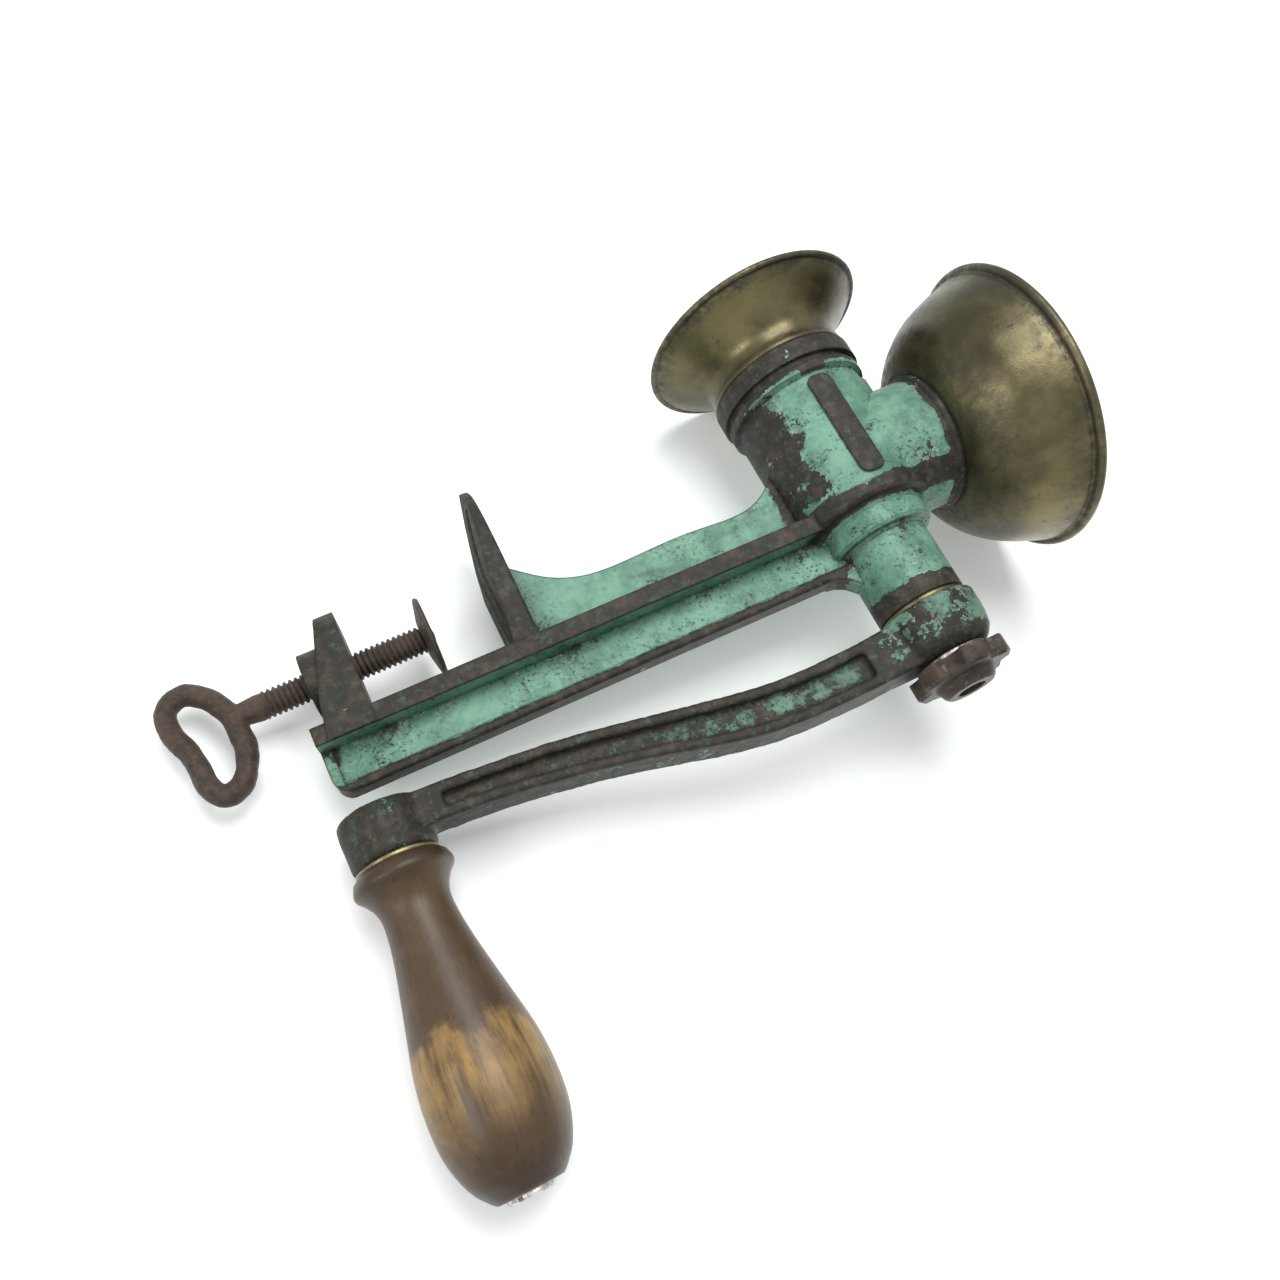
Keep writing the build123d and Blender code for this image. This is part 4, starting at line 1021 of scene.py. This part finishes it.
# ------------------------------------------------------------------ pieces
@dataclass
class CastFrame:
    """Barrel, neck, post, jaw and foot in one painted casting."""

    upright_top: tuple[float, float] = (96.0, 88.0)
    flange_side: tuple[float, float] = (8.6, 9.1)
    flange_front: float = 14.8
    flange_back: float = 20.2
    bead_front: float = 29.0
    collar_radius: tuple[float, float] = (19.9, 20.6)
    collar_station: tuple[float, float] = (-21.0, -23.5)
    seam_station: tuple[float, float] = (15.6, 20.6)
    seam_height: tuple[float, float] = (84.0, 92.0)
    mouth_station: tuple[float, float] = (42.0, 45.5)
    mouth_radius: tuple[float, float] = (20.0, 16.0)
    strip_height: tuple[float, float] = (103.0, 110.6)
    strip_radius: tuple[float, float] = (19.8, 20.1)
    strip_side: tuple[float, float] = (14.0, 17.0)
    belly_height: tuple[float, float] = (100.0, 88.0)
    belly_radius: tuple[float, float] = (23.0, 20.0)
    belly_station: tuple[float, float] = (15.0, 10.0)
    jaw_height: tuple[float, float] = (-1.5, 8.6)
    foot_height: tuple[float, float] = (-37.0, -38.6)
    ring_low: tuple[float, float] = (129.5, 132.0)
    ring_high: tuple[float, float] = (137.0, 135.5)

    def dress(self, frame: dict, effects: SharedEffects) -> None:
        """Puts chipped paint on the casting.

        Args:
            effects: Shared shader groups.
        """
        coat = Coat("chipped_turquoise_paint", effects)
        w = coat.wiring
        front = self.flange_front
        radius = coat.distance(SHAFT, "Y")
        below = w.rise(coat.z, *self.upright_top)
        flange = w.times(w.rise(w.maths("ABSOLUTE", coat.x), *self.flange_side),
                         w.window(coat.y, front - 0.6, self.flange_back + 0.4, 0.3))
        flange = w.times(flange, below)
        bead_edge = w.times(w.rise(coat.y, self.bead_front, self.bead_front + 1.4), below)
        collar = w.times(w.rise(radius, *self.collar_radius), w.rise(coat.y, *self.collar_station))
        seam = w.times(w.window(coat.y, *self.seam_station, 0.8),
                       w.rise(coat.z, *self.seam_height))
        mouth = w.times(w.rise(coat.y, *self.mouth_station), w.rise(radius, *self.mouth_radius))
        raised = w.times(w.rise(radius, *self.strip_radius), w.rise(coat.x, *self.strip_side))
        strip = w.times(w.window(coat.z, *self.strip_height, 0.5), raised)
        lower = w.times(w.rise(radius, *self.belly_radius), w.rise(coat.y, *self.belly_station))
        belly = w.times(w.rise(coat.z, *self.belly_height), lower)
        jaw = w.times(w.window(coat.z, *self.jaw_height, 0.5),
                      w.rise(coat.y, front + 0.6, front - 1.0))
        foot = w.times(w.rise(coat.z, *self.foot_height), w.rise(coat.y, front + 1.0, front - 1.5))
        ring = w.times(w.rise(coat.z, *self.ring_low), w.rise(coat.z, *self.ring_high))
        worn = coat.total(
            coat.share(flange, 0.95), coat.share(bead_edge, 0.62), coat.share(collar, 0.62),
            coat.share(seam, 0.62), coat.share(mouth, 0.8), coat.share(strip, 0.75),
            coat.share(belly, 0.55), coat.share(jaw, 0.95), coat.share(foot, 0.62),
            coat.share(ring, 0.45))
        ChippedPaint().dress(coat, worn)
        paint_node(frame, "frame_casting", coat.material)


@dataclass
class SpunBrass:
    """Bowl and flared outlet, each one sheet turned over a form."""

    sheet: float = 1.0
    bowl_rim_r: float = 42.9
    bowl_rim_z: float = 55.6
    bowl_roll: float = 1.35
    bowl_floor: float = 28.3
    throat: float = 12.4
    flare_rim_r: float = 33.9
    flare_rim_y: float = -53.2
    flare_roll: float = 0.95
    flare_seat: float = -35.8
    sleeve_r: float = 17.7
    sleeve_rear: float = -30.4

    def bowl_outline(self) -> list[tuple[float, float]]:
        """Closed outline of the bowl, radius and height over the shaft."""
        skin = [(21.4, self.bowl_floor), (26.0, 29.9), (30.2, 33.2), (33.2, 36.6),
                (35.6, 40.2), (37.6, 44.6), (39.3, 49.2), (40.4, 52.6), (40.5, 54.0)]
        lining = [(r - 0.95 * self.sheet, z + 0.55 * self.sheet) for r, z in skin]
        lining[0] = (20.9, self.bowl_floor + self.sheet)
        middle = (self.bowl_rim_r - self.bowl_roll, self.bowl_rim_z)
        roll = bead(middle, self.bowl_roll, -100, 215)
        floor = [(self.throat, self.bowl_floor + self.sheet), (self.throat, self.bowl_floor)]
        return [*smooth_line(skin), *roll, *reversed(smooth_line(lining)), *floor]

    def flare_outline(self) -> list[tuple[float, float]]:
        """Closed outline of the outlet, radius and station along the shaft."""
        seat, sheet = self.flare_seat, self.sheet
        skin = [(21.3, seat), (20.9, -38.0), (21.4, -41.0), (23.2, -44.0), (26.1, -47.0),
                (29.7, -50.0), (32.2, -52.2)]
        lining = [(r - sheet, y + 0.15) for r, y in skin]
        lining[0] = (20.2, seat)
        middle = (self.flare_rim_r - self.flare_roll, self.flare_rim_y)
        roll = bead(middle, self.flare_roll, 130, -170)
        sleeve = [(self.sleeve_r - sheet, seat), (self.sleeve_r - sheet, self.sleeve_rear),
                  (self.sleeve_r, self.sleeve_rear), (self.sleeve_r, seat + 1.0),
                  (21.3, seat + 1.0)]
        return [*smooth_line(skin), *roll, *reversed(smooth_line(lining)), *sleeve]

    def build(self, frame: dict, effects: SharedEffects, lathe: GeometryTree) -> None:
        """Turns both sheets and gives them tarnished brass.

        Args:
            effects: Shared shader groups.
            lathe: Tree that turns an outline.
        """
        coat = Coat("tarnished_bowl_brass", effects)
        w = coat.wiring
        # Darker zones on the bowl: painted shade in the crease under the rolled rim, patina near
        # the rim, partly tarnish and partly painted shade towards the root, and darker towards -Y.
        crease = w.window(coat.z, 158.9, 160.3, 0.3)
        rim = w.rise(coat.z, 151.0, 158.0)
        root = w.rise(coat.z, 148.0, 135.0)
        side = w.rise(coat.y, -14.0, -40.0)
        TarnishedBrass().dress(coat, coat.total(
            crease, coat.share(rim, 0.55), coat.share(root, 0.75),
            coat.share(side, 0.5)))
        line = chain_mesh("bowl_outline", self.bowl_outline(), True)
        bowl = lathe.run(line, "brass_bowl", {
            "Dent": 0.012, "Dent Size": 0.035, "Round": 161, "Along": 241,
            "Finish": coat.material})
        settle(bowl, Matrix.Translation(SHAFT * MM))
        stand_in(bowl, "frame", "hopper_bowl")
        coat = Coat("tarnished_outlet_brass", effects)
        w = coat.wiring
        rim = w.rise(coat.y, -45.0, -49.0)
        TarnishedBrass().dress(coat, rim)
        line = chain_mesh("flare_outline", self.flare_outline(), True)
        flare = lathe.run(line, "brass_outlet", {
            "Dent": 0.008, "Dent Size": 0.03, "Round": 145, "Along": 241,
            "Finish": coat.material})
        settle(flare, Matrix.Translation(SHAFT * MM) @ line_up("Y"))
        stand_in(flare, "frame", "outlet_cone")
        small = Coat("dull_washer_brass", effects)
        TarnishedBrass(rubbed=(0.27, 0.22, 0.11), dull=(0.12, 0.095, 0.048)).dress(small)
        for node in ("bowl_screw", "thrust_washer", "grip_washer"):
            paint_node(frame, node, small.material)


@dataclass
class Crank:
    """Bowed arm with hub and boss, its washers and the star nut."""

    web_half: float = 3.4

    def dress(self, frame: dict, effects: SharedEffects) -> None:
        """Puts worn paint on the arm and bare metal on the rest.

        Args:
            effects: Shared shader groups.
        """
        coat = Coat("crank_worn_paint", effects, 1.6)
        w = coat.wiring
        side = w.maths("ABSOLUTE", coat.x)
        along = w.window(coat.z, -34.0, 88.0, 4.0)
        rims = w.times(w.rise(side, self.web_half + 0.6, self.web_half + 1.6), along)
        low = w.rise(coat.z, 60.0, 0.0)
        hub = w.rise(coat.y, 59.0, 63.0)
        worn = coat.total(coat.share(rims, 0.50), coat.share(low, 0.28), coat.share(hub, 0.4))
        ChippedPaint(light=(0.130, 0.265, 0.185), deep=(0.055, 0.105, 0.070), base_loss=0.47,
                     patch=7.0, kept=0.75).dress(coat, worn)
        arm = soften(frame, "crank_arm", "cast_crank", 0.5, 9)
        arm.data.materials.clear()
        arm.data.materials.append(coat.material)
        stand_in(arm, "crank", "crank_arm")
        nut = Coat("browned_star_nut", effects, 0.6)
        BareIron(dark=(0.016, 0.014, 0.011)).dress(nut, (0.110, 0.115, 0.095))
        paint_node(frame, "star_nut", nut.material)


@dataclass
class HandleGrip:
    """Turned wooden grip and the spindle that it spins on."""

    start: float = 50.0
    end: float = 130.0
    bore: float = 3.58
    recess_r: float = 6.7
    recess: float = 2.6

    def outline(self) -> list[tuple[float, float]]:
        """Closed outline of the grip, radius and station along its axis."""
        skin = [(12.1, 51.0), (12.9, 53.8), (11.0, 56.2), (9.5, 58.8), (8.8, 62.0), (9.1, 67.0),
                (10.0, 73.0), (11.4, 80.0), (13.1, 88.0), (14.8, 96.0), (15.7, 103.0),
                (15.9, 110.0), (15.4, 116.0), (14.1, 121.0), (12.0, 125.6), (9.0, 129.2)]
        step = self.end - self.recess
        end = [(8.0, self.end), (self.recess_r, self.end), (self.recess_r, step),
               (self.bore, step), (self.bore, self.start), (11.0, self.start)]
        return [*smooth_line(skin, 10), *end]

    def build(self, frame: dict, effects: SharedEffects, lathe: GeometryTree) -> None:
        """Turns the grip.

        Args:
            effects: Shared shader groups.
            lathe: Tree that turns an outline.
        """
        coat = Coat("hand_worn_wood", effects)
        w = coat.wiring
        sway = w.times(w.grain(coat.place, 12.0, 4.0), 16.0)
        place = w.plus(coat.y, w.minus(sway, 8.0))
        pale = w.times(w.rise(place, 94.0, 98.5), w.rise(place, 124.0, 106.0))
        dark = coat.total(w.rise(coat.y, 62.0, 55.0), w.rise(coat.y, 120.0, 133.0))
        HandledWood().dress(coat, pale, dark)
        line = chain_mesh("grip_outline", self.outline(), True)
        grip = lathe.run(line, "wooden_grip", {
            "Dent": 0.006, "Dent Size": 0.03, "Round": 113, "Along": 241,
            "Finish": coat.material})
        settle(grip, Matrix.Translation(GRIP_LINE * MM) @ line_up("Y"))
        stand_in(grip, "grip", "handle_grip")


@dataclass
class ClampScrew:
    """Threaded rod with a forged kidney loop, its pad and rivet."""

    crest: float = 3.75
    root: float = 3.05
    pitch: float = 1.5
    pad_low: float = -19.4
    thread_end: float = -63.5
    shank_low: float = -72.0
    bar: float = 2.9
    shank_sides: int = 28

    def loop_line(self) -> list[tuple[float, float]]:
        """Middle line of the loop, station along Y and height."""
        line = [(0.0, -71.4), (-4.4, -73.4), (-7.9, -75.8), (-11.4, -81.0), (-9.0, -86.4),
                (-2.4, -86.8), (3.8, -84.4), (9.2, -83.2), (14.6, -82.6), (18.6, -79.6),
                (17.8, -74.9), (12.8, -71.9), (6.6, -70.8)]
        ring = [*line[-2:], *line, *line[:2]]
        smooth = smooth_line(ring, 6)
        return smooth[2 * 6:-3 * 6 + 5]

    def build(self, frame: dict, effects: SharedEffects, thread: GeometryTree,
              rod: GeometryTree) -> None:
        """Makes the rod with its thread and the loop, and dresses pad and rivet.

        Args:
            effects: Shared shader groups.
            thread: Tree that cuts the thread.
            rod: Tree that bends the bar.
        """
        coat = Coat("rusted_screw_iron", effects)
        BareIron(Corrosion.RUSTED).dress(coat)
        seed = chain_mesh("thread_seed", [(0.0, 0.0), (1.0, 0.0)], False)
        length = self.pad_low - self.thread_end
        screw = thread.run(seed, "screw_thread", {
            "Root": self.root * MM, "Crest": self.crest * MM, "Pitch": self.pitch * MM,
            "Top": self.pad_low * MM, "Length": length * MM, "Round": 49,
            "Along": 1 + int(length / self.pitch * 9), "Finish": coat.material})
        settle(screw, Matrix.Identity(4))
        stand_in(screw, "screw", "clamp_screw")
        bar = rod.run(chain_mesh("loop_line", self.loop_line(), True), "forged_key", {
            "Thickness": self.bar * MM, "Uneven": 0.10, "Steps": 150, "Finish": coat.material})
        settle(bar, Matrix(((0, 0, 1, 0), (1, 0, 0, 0), (0, 1, 0, 0), (0, 0, 0, 1))))
        self._forge(bar)
        stand_in(bar, "screw", "clamp_screw")
        plain = Coat("rusted_pad_iron", effects)
        BareIron(Corrosion.RUSTED, powder=(0.08, 0.055, 0.035)).dress(plain, (0.10, 0.17, 0.12))
        for node in ("pressure_pad", "pad_rivet"):
            paint_node(frame, node, plain.material)

    def _forge(self, bar: bpy.types.Object) -> None:
        """Adds the shank to the loop and melts both into one skin.

        Args:
            bar: Loop whose mesh is changed.
        """
        work = bmesh.new()
        work.from_mesh(bar.data)
        rows = [(3.0, self.thread_end + 3.0), (3.62, self.thread_end - 0.6),
                (3.3, self.thread_end - 3.4), (3.1, -69.0), (3.3, -70.6), (3.2, self.shank_low)]
        sides = self.shank_sides
        angles = [2 * math.pi * i / sides for i in range(sides)]
        rings = [[work.verts.new((r * MM * math.cos(a), r * MM * math.sin(a), z * MM))
                  for a in angles] for r, z in rows]
        for low, high in zip(rings[1:], rings):
            for i in range(sides):
                j = (i + 1) % sides
                work.faces.new((low[i], low[j], high[j], high[i]))
        work.faces.new(rings[0])
        work.faces.new(list(reversed(rings[-1])))
        bmesh.ops.recalc_face_normals(work, faces=work.faces)
        work.to_mesh(bar.data)
        work.free()
        melt = bar.modifiers.new("melt", "REMESH")
        melt.mode = "VOXEL"
        melt.voxel_size = 0.32 * MM
        ease = bar.modifiers.new("ease", "SMOOTH")
        ease.iterations = 7
        graph = bpy.context.evaluated_depsgraph_get()
        mesh = bpy.data.meshes.new_from_object(bar.evaluated_get(graph), depsgraph=graph)
        bar.modifiers.clear()
        roughen(mesh, ((0.30, 0.20), (0.90, 0.07)))
        bar.data = mesh


@dataclass
class GrindingSet:
    """Shaft, worm, cone and ring with their small steel pieces."""

    steel: tuple[str, ...] = ("drive_shaft", "cone_washer", "cone_nut", "worm_pin", "ring_pin",
                              "nut_washer")
    iron: tuple[str, ...] = ("grinding_ring", "grinding_cone", "feed_worm")

    def dress(self, frame: dict, effects: SharedEffects) -> None:
        """Puts worn steel and browned iron on the inner pieces.

        Args:
            effects: Shared shader groups.
        """
        bright = Coat("rubbed_spindle_steel", effects, 0.3)
        WornSteel(clean=(0.62, 0.60, 0.56), brown=(0.30, 0.27, 0.22)).dress(bright)
        paint_node(frame, "grip_spindle", bright.material)
        steel = Coat("worn_steel", effects, 0.4)
        WornSteel().dress(steel)
        for node in self.steel:
            paint_node(frame, node, steel.material)
        iron = Coat("browned_grinding_iron", effects)
        BareIron(bright=(0.30, 0.28, 0.25)).dress(iron)
        for node in self.iron:
            paint_node(frame, node, iron.material)


# ------------------------------------------------------------------ studio
@dataclass
class Studio:
    """Pale floor that the mill lies on, soft lamps and the camera."""

    camera_place: Vector = Vector((0.28935, 0.12989, -0.02859))
    camera_right: Vector = Vector((0.03133, 0.43588, 0.89946))
    camera_up: Vector = Vector((0.38674, -0.83509, 0.39122))
    camera_back: Vector = Vector((0.92166, 0.33560, -0.19473))
    lens: float = 33.15
    floor_up: Vector = Vector((0.990, 0.018, 0.137)).normalized()
    floor_half: float = 2.2

    def floor(self) -> None:
        """Lays the floor under the side that the mill lies on."""
        low = min(self.floor_up.dot(piece.matrix_world @ vertex.co)
                  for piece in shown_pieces() if piece.type == "MESH"
                  for vertex in piece.data.vertices)
        across = self.floor_up.cross(Vector((0, 0, 1))).normalized()
        along = across.cross(self.floor_up)
        middle = self.floor_up * low
        mesh = bpy.data.meshes.new("pale_floor")
        half = self.floor_half
        corners = [middle + across * a * half + along * b * half
                   for a, b in ((-1, -1), (1, -1), (1, 1), (-1, 1))]
        mesh.from_pydata(corners, [], [(0, 1, 2, 3)])
        if mesh.polygons[0].normal.dot(self.floor_up) < 0:
            mesh.flip_normals()
        floor = bpy.data.objects.new("pale_floor", mesh)
        bpy.context.scene.collection.objects.link(floor)
        mesh.materials.append(self._floor_material())
        floor.visible_shadow = False
        floor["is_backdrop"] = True
        LOG.info("floor lies %.4f m under the origin", -low)

    @staticmethod
    def _seen(w: Wiring) -> Plug:
        """Is 1 for camera, glossy and transmission rays.

        Args:
            w: Wiring of the material or world.

        Returns:
            The mask's socket.
        """
        path = w.put("ShaderNodeLightPath")
        glossy, through = path.outputs["Is Glossy Ray"], path.outputs["Is Transmission Ray"]
        shiny = w.maths("MAXIMUM", glossy, through)
        return w.maths("MAXIMUM", path.outputs["Is Camera Ray"], shiny)

    def _floor_material(self) -> bpy.types.Material:
        """Pale floor with a faint cool fall-off, clear when it is seen from behind.

        Returns:
            The material.
        """
        material = bpy.data.materials.new("pale_floor")
        material.use_nodes = True
        tree = material.node_tree
        tree.nodes.clear()
        w = Wiring(tree)
        output = w.put("ShaderNodeOutputMaterial")
        matt = w.put("ShaderNodeBsdfDiffuse")
        matt.inputs["Color"].default_value = (0.86, 0.88, 0.875, 1.0)
        glow = w.put("ShaderNodeEmission")
        place = w.put("ShaderNodeSeparateXYZ")
        w.feed(place.inputs[0], w.put("ShaderNodeTexCoord").outputs["Object"])
        fall = w.rise(place.outputs["Y"], 0.04, -0.24)
        w.feed(glow.inputs["Color"], w.blend(fall, (1.0, 1.0, 0.985), (0.55, 0.72, 0.66)))
        glow.inputs["Strength"].default_value = 0.26
        both = w.put("ShaderNodeAddShader")
        w.feed(both.inputs[0], matt.outputs[0])
        w.feed(both.inputs[1], glow.outputs[0])
        seen = w.put("ShaderNodeMixShader")
        w.feed(seen.inputs[0], self._seen(w))
        w.feed(seen.inputs[1], matt.outputs[0])
        w.feed(seen.inputs[2], both.outputs[0])
        clear = w.put("ShaderNodeBsdfTransparent")
        mix = w.put("ShaderNodeMixShader")
        w.feed(mix.inputs[0], w.put("ShaderNodeNewGeometry").outputs["Backfacing"])
        w.feed(mix.inputs[1], seen.outputs[0])
        w.feed(mix.inputs[2], clear.outputs[0])
        w.feed(output.inputs["Surface"], mix.outputs[0])
        return material

    def world(self) -> None:
        """Even light from all round, seen as white."""
        world = bpy.data.worlds.new("white_room")
        world.use_nodes = True
        tree = world.node_tree
        tree.nodes.clear()
        w = Wiring(tree)
        output = w.put("ShaderNodeOutputWorld")
        lit = w.put("ShaderNodeBackground")
        lit.inputs["Color"].default_value = (0.95, 0.98, 1.0, 1.0)
        lit.inputs["Strength"].default_value = 0.42
        white = w.put("ShaderNodeBackground")
        white.inputs["Color"].default_value = (0.94, 0.965, 0.96, 1.0)
        white.inputs["Strength"].default_value = 1.0
        mix = w.put("ShaderNodeMixShader")
        w.feed(mix.inputs[0], self._seen(w))
        w.feed(mix.inputs[1], lit.outputs[0])
        w.feed(mix.inputs[2], white.outputs[0])
        w.feed(output.inputs["Surface"], mix.outputs[0])
        bpy.context.scene.world = world

    @staticmethod
    def lamp(name: str, place: Vector, aim: Vector, size: float, power: float,
             tint: Colour = (1.0, 1.0, 1.0)) -> None:
        """Adds one square soft lamp.

        Args:
            name: Name of the lamp.
            place: Where it hangs, in metres.
            aim: What it points at.
            size: Side of the square.
            power: Power in watts.
            tint: Colour of its light.
        """
        data = bpy.data.lights.new(name, "AREA")
        data.size = size
        data.energy = power
        data.color = tint
        lamp = bpy.data.objects.new(name, data)
        bpy.context.scene.collection.objects.link(lamp)
        lamp.location = place
        lamp.rotation_mode = "QUATERNION"
        lamp.rotation_quaternion = (aim - place).to_track_quat("-Z", "Y")

    def lights(self) -> None:
        """Hangs the lamps round the mill."""
        middle = Vector((0.0, 0.03, 0.05))
        over = (self.floor_up + Vector((0.0, -0.30, 0.10))).normalized()
        self.lamp("overhead_softbox", middle + over * 0.85, middle, 0.55, 7.0)
        left = Vector((0.70, 0.05, -0.70)).normalized()
        self.lamp("left_softbox", middle + left * 0.95, middle, 0.35, 2.6)
        behind = Vector((-0.8, 0.25, 0.45)).normalized()
        self.lamp("behind_fill", middle + behind * 0.9, middle, 0.7, 5.0)

    def camera(self) -> None:
        """Sets the camera where the photograph was taken from."""
        data = bpy.data.cameras.new("photo_camera")
        data.lens = self.lens
        data.sensor_width = 36.0
        data.clip_start = 0.01
        camera = bpy.data.objects.new("photo_camera", data)
        bpy.context.scene.collection.objects.link(camera)
        turn = Matrix((self.camera_right, self.camera_up, self.camera_back)).transposed()
        camera.matrix_world = Matrix.Translation(self.camera_place) @ turn.to_4x4()
        bpy.context.scene.camera = camera

    def build(self) -> None:
        """Sets up floor, light and camera."""
        self.floor()
        self.world()
        self.lights()
        self.camera()
        bpy.context.scene.view_settings.view_transform = "Standard"


def corners() -> list[list[float]]:
    """Box of the shown object as plain numbers."""
    return [[float(value) for value in corner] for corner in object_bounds()]


def main() -> None:
    """Builds the mill's looks in order."""
    logging.basicConfig(level=logging.INFO, format="%(name)s: %(message)s")
    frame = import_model()
    effects = SharedEffects()
    lathe = lathe_tree()
    CastFrame().dress(frame, effects)
    SpunBrass().build(frame, effects, lathe)
    Crank().dress(frame, effects)
    HandleGrip().build(frame, effects, lathe)
    GrindingSet().dress(frame, effects)
    ClampScrew().build(frame, effects, thread_tree(), rod_tree())
    Studio().build()


if __name__ == "__main__":
    main()
